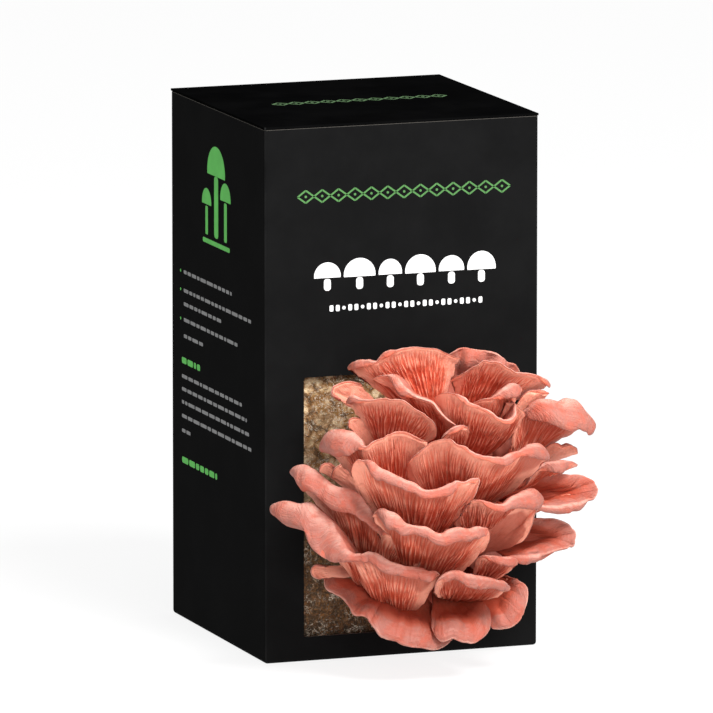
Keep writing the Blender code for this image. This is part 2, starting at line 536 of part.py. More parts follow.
def swollen(mesh, gap):
    """A copy of a closed mesh, grown by a gap all round."""
    copy = mesh.copy()
    copy.normal_update()
    moves = [(vertex, vertex.normal * gap * min(vertex.calc_shell_factor(), 2)) for vertex in copy.verts]
    for vertex, move in moves:
        vertex.co += move
    return copy


def largest_body(mesh):
    """Keeps the largest of the bodies that a cut leaves."""
    left = set(mesh.faces)
    bodies = []
    while left:
        body, reached = set(), [left.pop()]
        while reached:
            face = reached.pop()
            body.add(face)
            for edge in face.edges:
                if len(edge.link_faces) != 2:
                    continue
                for other in edge.link_faces:
                    if other in left:
                        left.discard(other)
                        reached.append(other)
        bodies.append(body)
    bodies.sort(key=lambda body: sum(face.calc_area() for face in body))
    for body in bodies[:-1]:
        bmesh.ops.delete(mesh, geom=list(body), context="FACES")


def trimmed(mesh, neighbours, scratch):
    """The mesh cut clear of every neighbour that it meets."""
    for neighbour in neighbours:
        cutter_mesh = swollen(neighbour, PIECE_GAP * MM)
        if not BVHTree.FromBMesh(mesh).overlap(BVHTree.FromBMesh(cutter_mesh)):
            cutter_mesh.free()
            continue
        target = new_object("target", mesh, None, scratch)
        cutter = new_object("cutter", cutter_mesh, None, scratch)
        cut(target, cutter).use_self = True
        bpy.context.view_layer.update()
        graph = bpy.context.evaluated_depsgraph_get()
        mesh = bmesh.new()
        mesh.from_mesh(target.evaluated_get(graph).data)
        for helper in (target, cutter):
            data = helper.data
            bpy.data.objects.remove(helper)
            bpy.data.meshes.remove(data)
        bmesh.ops.remove_doubles(mesh, verts=mesh.verts, dist=0.004 * MM)
        bmesh.ops.dissolve_degenerate(mesh, edges=mesh.edges, dist=0.002 * MM)
        largest_body(mesh)
        bmesh.ops.triangulate(mesh, faces=mesh.faces)
    return mesh


def make_cluster(collection, base_look, mushroom_look):
    """The cluster base and every mushroom, each cut clear of those before it."""
    base = base_mesh()
    placed = [base.copy()]
    new_object("cluster_base", base, base_look, collection)
    for row in MUSHROOMS:
        mushroom = Mushroom(*row)
        mesh = trimmed(mushroom_mesh(mushroom), placed, collection)
        bmesh.ops.dissolve_limit(mesh, angle_limit=FLAT_ENOUGH, verts=mesh.verts, edges=mesh.edges)
        bmesh.ops.triangulate(mesh, faces=mesh.faces)
        placed.append(mesh.copy())
        look = mushroom_look.copy()
        look.name = mushroom.name
        made = new_object(mushroom.name, mesh, look, collection)
        made.data.shade_smooth()
    for mesh in placed:
        mesh.free()


def clear_scene():
    for found in list(bpy.data.objects):
        bpy.data.objects.remove(found)


def main():
    clear_scene()
    kit = bpy.data.collections.new("oyster_mushroom_grow_kit")
    cutters = bpy.data.collections.new("cutters")
    bpy.context.scene.collection.children.link(kit)
    bpy.context.scene.collection.children.link(cutters)
    make_carton(kit, cutters, material("carton_board", COLOURS["board"], 0.5))
    make_lid(kit, material("lid_board", COLOURS["board"], 0.5))
    make_bag(kit, cutters, material("bag_film", COLOURS["film"], 0.25, 0.5))
    make_block(kit, material("mycelium_block", COLOURS["block"], 0.9))
    make_cluster(kit, material("cluster_base", COLOURS["base"], 0.7),
                 material("mushroom_flesh", COLOURS["mushroom"], 0.6))


main()
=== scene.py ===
"""Looks of the oyster mushroom grow kit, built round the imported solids.

Lengths in the tables are in millimetres; the meshes are in metres, in the part's own frame.
"""

import math
import random

import bmesh
import bpy
import numpy as np
from mathutils import Matrix, Vector, noise


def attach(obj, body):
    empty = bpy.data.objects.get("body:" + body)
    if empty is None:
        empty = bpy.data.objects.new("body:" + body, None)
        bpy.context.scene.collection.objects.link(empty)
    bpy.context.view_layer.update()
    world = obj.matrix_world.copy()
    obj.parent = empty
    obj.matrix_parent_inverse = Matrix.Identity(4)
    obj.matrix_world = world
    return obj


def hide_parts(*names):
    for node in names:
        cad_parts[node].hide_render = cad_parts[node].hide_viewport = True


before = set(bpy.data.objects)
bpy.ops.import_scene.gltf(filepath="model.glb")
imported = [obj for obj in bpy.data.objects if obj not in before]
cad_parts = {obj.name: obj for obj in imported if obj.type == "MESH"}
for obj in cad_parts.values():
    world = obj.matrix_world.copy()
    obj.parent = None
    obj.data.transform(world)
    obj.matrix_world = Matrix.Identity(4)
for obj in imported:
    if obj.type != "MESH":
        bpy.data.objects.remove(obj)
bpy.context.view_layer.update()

MM = 0.001
PER_METRE = 1000
KIT, LID = "kit", "lid"

# Carton, as in the part's source.
CARTON_WIDTH, CARTON_DEPTH, CARTON_HEIGHT = 134.0, 132.0, 250.0
BOARD = 1.0
FRONT = -CARTON_DEPTH / 2
WINDOW_RIGHT = 48.0
WINDOW_BOTTOM, WINDOW_TOP = 11.5, 133.0

# Bag and block.
BAG_HALF_WIDTH, BAG_HALF_DEPTH = 64.9, 63.9
BAG_FLOOR, BAG_SHOULDER, BAG_TOP = 1.3, 208.0, 236.0
BAG_RIDGE_HALF_WIDTH, BAG_RIDGE_SHARE = 7.0, 0.9
BAG_CORNER = 4.0
BAG_FILM = 0.22
FILM_STEP = 3.2
SLIT_OVERLAP = 1.5
BLOCK_HALF_WIDTH, BLOCK_HALF_DEPTH = 64.05, 63.05
BLOCK_FLOOR, BLOCK_TOP = 2.15, 205.0
PEBBLE_SEED = 1

# Camera that took the photograph: a long lens about five metres away.
CAMERA_BACK = Vector((-0.3349, -0.9266, 0.1710)).normalized()
CAMERA_RIGHT = Vector((0.9405, -0.3399, 0.0)).normalized()
CAMERA_DISTANCE = 5.061
CAMERA_TARGET = Vector((0.0, 0.0, 0.125))
CAMERA_LENS = 547.7
CAMERA_SHIFT = (0.0045, 0.0129)

# Cluster base: half an ellipsoid on the carton's face.
BASE_CENTRE = (2.0, 70.0)
BASE_RADII = (33.0, 34.0, 50.0)
BASE_BACK = 2.6
# Lobes on it: across, up, how far out of the carton's face, and radius.
BASE_LOBES = (
    (33.0, 97.0, 12.0, 13.0),
    (32.0, 47.0, 12.0, 12.0),
    (10.0, 27.0, 12.0, 11.0),
    (20.0, 121.0, 8.0, 10.5),
    (27.0, 78.0, 16.0, 15.0),
    (44.0, 98.0, 22.0, 9.5),
)

# Mushrooms. A place is (across, up, out), read along a line of sight from the front, a little from the
# left and above; out is the true distance in front of the carton's face.
SIGHT_OUT = 50.0
SIGHT_ACROSS, SIGHT_UP = -0.3615, 0.1845
FLESH = 2.2
STEM_FLESH, NECK_FLESH = 4.6, 3.0
STEM_RING, NECK_RING = 3.6, 4.6
STEM_SPREAD, NECK_SPREAD = math.radians(115), math.radians(78)
NECK_FAN, BLADE_FAN = 0.30, 0.22
BLADE_REACH = 0.62
NECK_RUN = 0.45
SIDE_POWER = 8
ROOT_OUT = 20.0
ROOT_PULL = (0.68, 0.0, 0.74)
FOLD_DOWN = (0.16, -0.41, -0.90)

# Caps whose wide end lobes hang out past a narrower blade: the blade's fan at the rim's start and its end.
LOBED = {
    "mushroom_04": (-0.45, BLADE_FAN),
    "mushroom_05": (-0.10, BLADE_FAN),
    "mushroom_06": (-0.20, BLADE_FAN),
}

# Gills: fine ridges, of which every second and every fourth runs further down towards the stem.
GILL_PITCH = 1.38
GILL_DRIFT, GILL_DRIFT_LENGTH = 0.24, 5.3
GILL_HEIGHT = 0.8
STEPS_PER_GILL = 5
GILL_ROWS, LIP_ROWS, TOP_ROWS = 22, 20, 9
LAST_GILL_RUN = 0.965
# Rows stand closer together towards the rim, by this power.
ROW_SPACING = 0.82
# Sideways sway of the gills: its rate along the blade, its change from gill to gill, and its size in mm.
GILL_SWAY = ((8.0, 2.4, 0.28), (21.0, 4.1, 0.23), (11.0, 0.31, 0.25))
# Waves along the rim, each with its wavelength and height in mm.
RUFFLES = ((24.0, 0.80), (13.0, 0.55), (7.1, 0.20))
NOTCHES = ((19.0, 1.00), (9.3, 0.45), (4.6, 0.22))
LUMPS = ((14.0, 0.34), (6.8, 0.13))
CLEFTS = ((31.0, 0.55), (17.0, 0.30))
FURROWS = ((9.0, 0.16), (4.4, 0.10), (2.3, 0.05), (1.3, 0.03))
SMOOTH_CAPS = ("mushroom_19", "mushroom_22", "mushroom_24", "mushroom_25", "mushroom_26", "mushroom_27",
               "mushroom_28", "mushroom_29", "mushroom_30")
GILL_RANKS = (
    # every, first, starts at run, ridge width where it starts, ridge width at the rim
    (4, 0, 0.10, 1.7, 0.52),
    (4, 2, 0.40, 0.9, 0.52),
    (2, 1, 0.62, 0.6, 0.50),
)

# Tones over a lip, from the gilled side over the crest to the top side: rim paleness (its peak at the crest
# row is a painted highlight), painted shade in the gill grooves, painted shade of depth, gilled.
OVER_THE_CREST = ((0.95, 0, 0, 0), (0.75, 0, 0, 0), (0.62, 0, 0, 0))
OPEN_LIP = (
    (0.00, 0, 0, 0.95), (0.05, 0, 0.05, 0.9), (0.08, 0, 0.05, 0.9), (0.10, 0, 0, 0.85),
    (0.15, 0, 0, 0.8), (0.20, 0, 0, 0.7), (0.60, 0, 0, 0.5), (1.25, 0, 0, 0), *OVER_THE_CREST,
)
FOLDED_LIP = (
    (0.20, 0, 0, 0.9), (0.50, 0, 0.30, 0.6), (0.50, 0, 0.30, 0.3), (0.60, 0, 0.10, 0),
    (0.71, 0, 0, 0), (0.80, 0, 0, 0), (0.86, 0, 0, 0), (1.04, 0, 0, 0), *OVER_THE_CREST,
)

# What a folded lip's tones lose on its hidden inner side, and depth gains: painted shade behind the fold.
SHADE_BEHIND_THE_FOLD = (0.25, 0, -0.35, 0)

# A folded rim rolls outwards by a share of its drop, up to a limit, and leaves a hollow behind its end; below
# that end painted shadow darkens the gills over this many mm.
ROLL, ROLL_LIMIT = 0.36, 3.6
FOLD_SHADOW_REACH = 4.5
# Steps along the rim, on each side, over which a fold's direction is averaged.
CALM = 14

# Caps that show their smooth upper side to the front, with a thick pale margin.
DISHES = ("mushroom_12", "mushroom_13", "mushroom_16", "mushroom_17", "mushroom_18", "mushroom_22")
MARGIN = 1.5
MARGIN_SWELL = 2.2
# The cap at the back is the most uneven one.
BACK_CAP = "mushroom_22"
BACK_LUMPS = 3.2
# A blade waves freely from the second length on, in mm, and not at all below the first.
SHORTEST_BLADE, FULL_BLADE = 6.0, 28.0
# For each: where the pale margin begins, how strong the painted shade of darker coral inside it is, and how
# strong the painted shade towards the stem is.
MARGINS = {
    "mushroom_12": (0.78, 1.0, 1.0),
    "mushroom_13": (0.78, 1.0, 1.0),
    "mushroom_16": (0.74, 0.6, 1.0),
    "mushroom_17": (0.74, 0.8, 1.0),
    "mushroom_18": (0.70, 0.7, 1.0),
    "mushroom_19": (0.93, 1.0, 1.0),
    "mushroom_22": (0.10, 0.0, 0.2),
}
PLAIN_MARGIN = (0.66, 0.0, 1.0)
SWELL_FROM = {"mushroom_16": 0.38}
UNEVEN_MARGIN = ((26.0, 0.045), (11.0, 0.025))

# The scene's rolled rims are fuller than the CAD's, so each cap is drawn in a little and stays in the
# part's box.
DRAWN_IN = 0.99

# One row for each mushroom: name, foot (across, up, out), size of its stem, how far out its rim stands at
# its two ends and its middle, how hollow its gilled side is, and the rim's points (across, up, lip).
MUSHROOMS = (
    ("mushroom_01", (16, 70, 54), 1.0, (64, 90, 62), 0.10, (
        (-15, 95, 1.6), (-14.6, 99.6, 3), (-12, 102.4, 2), (-7, 105.5, 1.2), (0, 108.5, 1),
        (7, 108.3, 1.2), (13, 105.6, 2.4), (19, 101.6, 2.6), (25, 99.8, 2.8), (31, 99.4, 4.2),
        (36, 100.5, 4.6), (41, 102.2, 3.2), (46, 104.2, 7.6), (50.5, 104.2, 9), (54, 101.5, 6),
        (54.8, 97, 1.5))),
    ("mushroom_02", (-3, 58, 56), 1.0, (62, 91, 84), 0.08, (
        (-41.4, 90.5, 1), (-42.8, 97, 1), (-40.5, 102, 1), (-36, 102.3, 2.5), (-32, 100.5, 6.5),
        (-27, 96.8, 6.6), (-20, 93.1, 5.4), (-13, 89.6, 5.3), (-6.5, 86.6, 4.4), (0, 85.8, 4.4),
        (6, 87.2, 5.2), (10, 89.3, 3), (14.5, 89, 2), (18, 89.6, 3), (20.8, 89.2, 1.6), (20.6, 85.5, 1),
        (17.6, 80, 1))),
    ("mushroom_03", (1, 36, 54), 1.0, (73, 91, 74), 0.08, (
        (-32.5, 75.5, 1), (-29, 78.3, 5.5), (-24, 77, 9.6), (-18, 73, 8), (-12.5, 69.4, 4.6),
        (-6, 67.6, 5.6), (0, 65.6, 5.9), (6, 66, 6.8), (12, 66.5, 6.8), (18, 66.8, 6.4),
        (22.5, 66.6, 4.4), (25.6, 64.4, 1.4), (26, 60.5, 1), (24, 56, 1))),
    ("mushroom_04", (-19, 20, 44), 1.1, (32, 68, 78), 0.06, (
        (-84, 81.5, 1), (-81.5, 84, 7), (-76, 85, 12), (-69, 83.8, 13), (-62, 82, 19), (-55.5, 75, 19),
        (-50, 67, 13.5), (-45, 60.2, 7), (-39, 58, 4.6), (-33, 57.4, 6), (-27.5, 55.5, 7.4),
        (-21, 52, 6.2), (-14, 49.6, 6), (-7, 48.9, 6.4), (-2, 47.2, 4.6), (1.4, 45, 1.4))),
    ("mushroom_05", (-26, 40, 44), 0.9, (34, 66, 66), 0.06, (
        (-74, 98.5, 1), (-71.5, 100.8, 6), (-67, 101.4, 13), (-62.5, 99.5, 11.5), (-57, 94, 11),
        (-51, 90.5, 12.4), (-44, 88.5, 12.5), (-38, 84.5, 10.8), (-33, 76.5, 6.6), (-29, 72, 7),
        (-25.5, 66.8, 2.6), (-20, 64.8, 1.6), (-14, 63, 1), (-8.5, 58.3, 1), (-8, 54, 1), (-10, 49, 1))),
    ("mushroom_06", (-25, 80, 48), 0.9, (42, 74, 68), 0.08, (
        (-58, 109, 3), (-57.5, 113, 7), (-53.5, 116.6, 12.6), (-48, 117.4, 13.4), (-43, 115.4, 11.2),
        (-39.5, 111.5, 6.3), (-36.5, 108.8, 2.4), (-33, 109.8, 1.6), (-28, 111.5, 1.3), (-24, 113, 1.2),
        (-20, 114.2, 1.9), (-15, 113.3, 2), (-9, 110.6, 1.8), (-5, 108.3, 1.4))),
    ("mushroom_07", (23, 100, 48), 0.9, (52, 76, 56), 0.10, (
        (-1.4, 129.6, 1.2), (3, 131, 1.2), (8, 130.6, 1.2), (12, 129.2, 3), (16, 126.4, 2.6),
        (21, 123.6, 2.3), (26, 121.9, 2.4), (30, 119, 2.4), (33.5, 117, 2.6), (36.7, 116.8, 2.8),
        (39, 119.5, 2.2), (39, 123, 1.6), (37.6, 125.6, 1))),
    ("mushroom_08", (-20, 107, 42), 0.9, (38, 64, 56), 0.10, (
        (-45.5, 131, 3), (-43, 132.8, 4.6), (-38.5, 131.2, 3), (-33, 130.3, 1.6), (-27, 130, 1.3),
        (-21, 129.5, 1.2), (-16, 128, 1), (-11, 124.6, 1), (-6, 120.8, 1), (-2, 117.4, 1),
        (-0.3, 113.5, 1), (-1.2, 110, 1))),
    ("mushroom_09", (-4, 128, 24), 0.9, (24, 42, 28), 0.10, (
        (-45, 147, 3), (-41, 149.3, 4.4), (-35, 149.2, 3.3), (-30.3, 148.4, 2), (-25.5, 152.6, 3.2),
        (-20, 153.6, 2), (-11, 154, 1), (-3, 152.7, 1), (3, 150.4, 1), (7.5, 148.3, 1.2),
        (11, 147.7, 1))),
    ("mushroom_10", (20, 127, 30), 0.9, (34, 52, 40), 0.10, (
        (6.4, 137, 1), (11, 138.9, 1), (15, 140.7, 1), (19.7, 143.7, 1.1), (24.5, 144.9, 1.1),
        (29.6, 144.4, 1.1), (34.5, 142, 1.2), (40, 138.6, 1.3), (45.7, 137.4, 1.4), (50, 136.7, 2),
        (54, 135, 3.4), (56.6, 132.4, 3))),
    ("mushroom_11", (43, 96, 34), 0.9, (42, 50, 36), 0.08, (
        (37.5, 108, 1), (39.5, 113.5, 1), (42.5, 119, 3), (46, 123.2, 9), (50, 125.4, 12.5),
        (55, 125.3, 15), (60, 124.4, 16), (65, 125.2, 16.5), (69, 123.8, 17), (72.5, 120, 15),
        (75.8, 116.4, 8.5), (77.8, 113.8, 3))),
    ("mushroom_12", (42, 80, 34), 0.9, (66, 48, 42), -0.12, (
        (42, 77, 2), (49, 76, 2.8), (55.6, 75, 3.4), (61.2, 74.6, 4), (66, 75, 4.8), (71, 76, 4),
        (75, 77, 1.8), (77.9, 76.9, 1.2), (80.2, 80.9, 1.2), (78.5, 83.9, 1.2), (76, 86.2, 1.2),
        (71, 88.4, 1.2), (64, 89.1, 1.2), (57, 89.2, 1.2), (49, 89.5, 1.2))),
    ("mushroom_13", (36, 60, 36), 0.9, (60, 46, 42), -0.12, (
        (36, 52.5, 3), (40.5, 52.4, 4.2), (45.5, 52, 4.6), (50, 52, 4.2), (55, 53.2, 3), (60, 54.2, 2),
        (65, 54.6, 1.4), (68, 56, 1.2), (69, 60, 1.2), (67.4, 63.4, 1.2), (64.5, 66.2, 1.2),
        (59, 68.3, 1.2), (52, 69.2, 1.2), (44, 69, 1.2))),
    ("mushroom_14", (26, 60, 50), 0.8, (64, 82, 58), 0.08, (
        (6.7, 73, 1), (9, 75.6, 1), (12.5, 77.4, 1), (16, 79.4, 1), (20.5, 79.3, 1.4), (25.5, 78.2, 3.2),
        (31, 77.2, 4), (36, 78.6, 5.4), (40, 81.2, 7.5), (44.5, 83.3, 10.6), (48.5, 83.1, 9.4),
        (50, 80, 5))),
    ("mushroom_15", (18, 27, 50), 0.9, (80, 82, 66), 0.06, (
        (-1.6, 37, 1), (-0.4, 42, 1.2), (3.5, 45.6, 4.4), (9, 46.3, 5.4), (14, 45.1, 6.4), (20, 44, 6.8),
        (27, 42.1, 5), (32, 40.6, 5.4), (35, 39, 3.8), (36.5, 36.8, 1.2))),
    ("mushroom_16", (-14, 34, 38), 0.9, (34, 66, 64), 0.16, (
        (-56.7, 47, 1.4), (-55.2, 42, 1.4), (-48, 38, 1.4), (-44, 33.4, 1.4), (-41.5, 29, 1.4),
        (-36, 28, 1.4), (-32.8, 24.4, 1.6), (-28.5, 19.2, 1.8), (-21, 15.6, 1.8), (-13, 12.6, 1.8),
        (-7, 11.7, 1.8), (-1, 10.8, 1.8), (4, 12.2, 1.6), (7.6, 14.6, 1.4))),
    ("mushroom_17", (10, 34, 40), 0.8, (66, 72, 56), 0.16, (
        (-3, 21.2, 1.4), (-0.8, 16.8, 1.6), (2.4, 14.5, 1.8), (7, 14.8, 1.8), (13, 13.4, 1.8),
        (18.5, 12.8, 1.8), (23.2, 15.4, 1.6), (26, 18.8, 1.4), (26.4, 24, 1.4), (25, 28.7, 1.3))),
    ("mushroom_18", (30, 39, 36), 0.8, (56, 58, 46), 0.14, (
        (27.3, 18.6, 1.6), (32, 18.4, 1.8), (37.8, 19.8, 1.8), (41.8, 23.2, 1.6), (43.4, 27, 1.4),
        (45, 31, 1.3), (44.5, 36.9, 1.3), (41, 40, 1.3), (37.5, 40.8, 1.3))),
    ("mushroom_19", (26, 52, 46), 0.8, (56, 64, 56), 0.04, (
        (22, 66, 1), (28, 70, 1), (34, 73, 1), (40, 75.5, 1), (46, 76.6, 1), (49.8, 74.5, 1),
        (48.8, 70.8, 1.2), (47.3, 66.5, 1.3), (45.3, 62, 1.2), (42.3, 58.4, 1))),
    ("mushroom_20", (8, 108, 40), 0.8, (34, 56, 66), 0.08, (
        (-33, 139.4, 1), (-29, 141.2, 1), (-25, 141.4, 1.5), (-21, 140.4, 4.6), (-17, 136.6, 5.4),
        (-13, 132.6, 3), (-8, 129.6, 2.2), (-3, 127, 1.8), (1, 122.6, 1.4), (5, 118.6, 1.3),
        (9.5, 115.6, 1))),
    ("mushroom_21", (32, 111, 40), 0.8, (58, 66, 52), 0.08, (
        (17.5, 125.4, 1), (22, 127, 1.6), (27, 128.2, 2.2), (30.5, 129.8, 3.6), (33.5, 132, 6),
        (36.5, 133.7, 7.4), (38.8, 133.8, 6), (41, 132.3, 1.2), (42.5, 130.6, 1))),
    ("mushroom_22", (18, 128, 14), 0.8, (16, 22, 16), -0.06, (
        (41.5, 138.5, 1), (39, 142.4, 1), (35, 143.7, 1), (33, 145.8, 1), (28, 148.8, 1), (21, 150.4, 1),
        (15.4, 151.7, 1), (9.8, 151, 1), (5, 149, 1))),
    ("mushroom_23", (44, 82, 38), 0.7, (46, 52, 38), 0.06, (
        (45.5, 86.5, 1), (49.8, 92.6, 2.2), (55, 95.4, 5), (60, 95.9, 6.8), (64.5, 95.6, 3.6),
        (68.5, 94.3, 1.8), (70.5, 93.2, 1))),
    ("mushroom_24", (54, 96, 30), 0.6, (34, 38, 34), 0.06, (
        (56, 103.6, 1), (59.5, 104.2, 1), (62.5, 103, 2), (66, 103.4, 2.2), (69, 101.8, 2),
        (70, 98.8, 1.5))),
    ("mushroom_25", (42, 113, 34), 0.6, (42, 46, 46), 0.06, (
        (40, 124, 1), (44.5, 128.9, 1), (49.4, 130, 2.2), (53.5, 129.6, 2.4), (56, 127.8, 1))),
    ("mushroom_26", (-32, 130, 20), 0.7, (32, 34, 28), 0.10, (
        (-49.5, 132.2, 1.4), (-52.6, 134.2, 1.4), (-52.2, 137.2, 1.4), (-49, 138.8, 1.4),
        (-44, 139.6, 1.4), (-38, 138, 1.4))),
    ("mushroom_27", (-32, 111, 22), 0.6, (27, 28, 26), 0.10, (
        (-44.4, 117.6, 1.2), (-44, 121.2, 1.2), (-41, 122.2, 1.2), (-37.5, 121, 1.2))),
    ("mushroom_28", (-45, 88, 24), 0.6, (30, 32, 30), 0.10, (
        (-59, 97.4, 1.2), (-58.4, 100.4, 1.2), (-55.6, 101.6, 1.2), (-52.6, 99.8, 1.2),
        (-50.4, 96.6, 1.2))),
    ("mushroom_29", (-39, 86, 28), 0.6, (36, 38, 36), 0.10, (
        (-53, 94.6, 1.2), (-52, 98.6, 1.2), (-47, 101, 1.2), (-43.4, 99, 1.2))),
    ("mushroom_30", (-47, 44, 22), 0.6, (28, 30, 28), 0.10, (
        (-58.6, 46.8, 1.2), (-62, 48.2, 1.2), (-63.3, 50.6, 1.2), (-61.5, 53.2, 1.2),
        (-56.5, 52.8, 1.2))),
    ("mushroom_31", (12, 102, 54), 0.6, (64, 68, 64), 0.06, (
        (2, 109.6, 1.2), (4.5, 112.3, 2.4), (8, 114.8, 3.2), (11.7, 115.6, 2.6), (14.8, 114.4, 1.6),
        (16.3, 112, 1))),
    ("mushroom_32", (37, 105, 42), 0.6, (60, 58, 52), 0.06, (
        (34.5, 125, 1), (39.5, 123.4, 1), (42.4, 120.8, 1), (44, 118.4, 1))),
    ("mushroom_33", (28, 36, 46), 0.7, (66, 72, 62), 0.06, (
        (19.5, 52, 1), (23.3, 53.2, 2), (28, 52.4, 4), (33, 52, 4.8), (37, 51.8, 4.6), (39.6, 50.4, 2),
        (40, 48, 1))),
)


# Materials

# Scale, detail and roughness of the fine tooth that board and ink share.
BOARD_TOOTH = (2600.0, 3.0, 0.6)


class Value:
    """One output of a shader node. Arithmetic on it adds Math nodes."""

    def __init__(self, look, socket):
        self.look, self.socket = look, socket

    def maths(self, operation, *values):
        return self.look.node("ShaderNodeMath", {"operation": operation}, dict(enumerate(values)))

    def __add__(self, other):
        return self.maths("ADD", self, other)

    def __radd__(self, other):
        return self.maths("ADD", other, self)

    def __sub__(self, other):
        return self.maths("SUBTRACT", self, other)

    def __rsub__(self, other):
        return self.maths("SUBTRACT", other, self)

    def __mul__(self, other):
        return self.maths("MULTIPLY", self, other)

    def __abs__(self):
        return self.maths("ABSOLUTE", self)

    def least(self, other):
        return self.maths("MINIMUM", self, other)

    def most(self, other):
        return self.maths("MAXIMUM", self, other)

    def rise(self, low, high):
        """0 below low, 1 above high, and a soft step between them."""
        settings = {"interpolation_type": "SMOOTHSTEP"}
        sockets = {"Value": self, "From Min": low, "From Max": high}
        return self.look.node("ShaderNodeMapRange", settings, sockets)

    def past(self, low, high):
        """The same step between two lengths in mm."""
        return self.rise(low * MM, high * MM)


class Look:
    """A procedural material; its constant values sit on the shader's own sockets."""

    def __init__(self, name, **constants):
        self.material = bpy.data.materials.new(name)
        self.material.use_nodes = True
        self.tree = self.material.node_tree
        self.shader = self.tree.nodes["Principled BSDF"]
        for socket, value in constants.items():
            self.shader.inputs[socket.replace("_", " ")].default_value = value

    def node(self, kind, settings, sockets, output=0):
        made = self.tree.nodes.new(kind)
        for key, value in settings.items():
            setattr(made, key, value)
        for key, value in sockets.items():
            if isinstance(value, Value):
                self.tree.links.new(value.socket, made.inputs[key])
            else:
                made.inputs[key].default_value = value
        return Value(self, made.outputs[output])

    def feed(self, **values):
        for socket, value in values.items():
            self.tree.links.new(value.socket, self.shader.inputs[socket.replace("_", " ")])

    def place(self):
        return self.node("ShaderNodeTexCoord", {}, {}, "Object")

    def split(self, vector):
        return [self.node("ShaderNodeSeparateXYZ", {}, {0: vector}, axis) for axis in "XYZ"]

    def vector(self, x, y, z):
        return self.node("ShaderNodeCombineXYZ", {}, {0: x, 1: y, 2: z})

    def stretch(self, vector, scale):
        return self.node("ShaderNodeVectorMath", {"operation": "MULTIPLY"}, {0: vector, 1: scale})

    def attribute(self, name, output="Color"):
        return self.node("ShaderNodeAttribute", {"attribute_name": name}, {}, output)

    def noise(self, vector, scale, detail=2.0, roughness=0.5, distortion=0.0, output=0):
        sockets = {"Vector": vector, "Scale": scale, "Detail": detail, "Roughness": roughness,
                   "Distortion": distortion}
        return self.node("ShaderNodeTexNoise", {}, sockets, output)

    def warp(self, vector, scale, detail, roughness, reach):
        """The place moved about by coloured noise, by up to about reach in metres."""
        swirl = self.noise(vector, scale, detail, roughness, output=1)
        moved = self.stretch(swirl, (reach, reach, reach))
        return self.node("ShaderNodeVectorMath", {"operation": "ADD"}, {0: vector, 1: moved})

    def cells(self, vector, scale, feature="F1"):
        sockets = {"Vector": vector, "Scale": scale}
        return self.node("ShaderNodeTexVoronoi", {"feature": feature}, sockets)

    def mix(self, share, first, second):
        colours = [value if isinstance(value, Value) else (*value, 1) for value in (first, second)]
        return self.node("ShaderNodeMix", {"data_type": "RGBA"}, {0: share, 6: colours[0], 7: colours[1]}, 2)

    def layers(self, colour, *layers):
        """The colour under layers of others, each given as its share and its colour."""
        for share, other in layers:
            colour = self.mix(share, colour, other)
        return colour

    def tint(self, colour, shade):
        """The colour made darker or lighter by a grey value."""
        grey = self.vector(shade, shade, shade)
        return self.node("ShaderNodeMix", {"data_type": "RGBA", "blend_type": "MULTIPLY"},
                         {0: 1.0, 6: colour, 7: grey}, 2)

    def bump(self, height, strength, distance):
        sockets = {"Height": height, "Strength": strength, "Distance": distance}
        self.feed(Normal=self.node("ShaderNodeBump", {}, sockets, "Normal"))


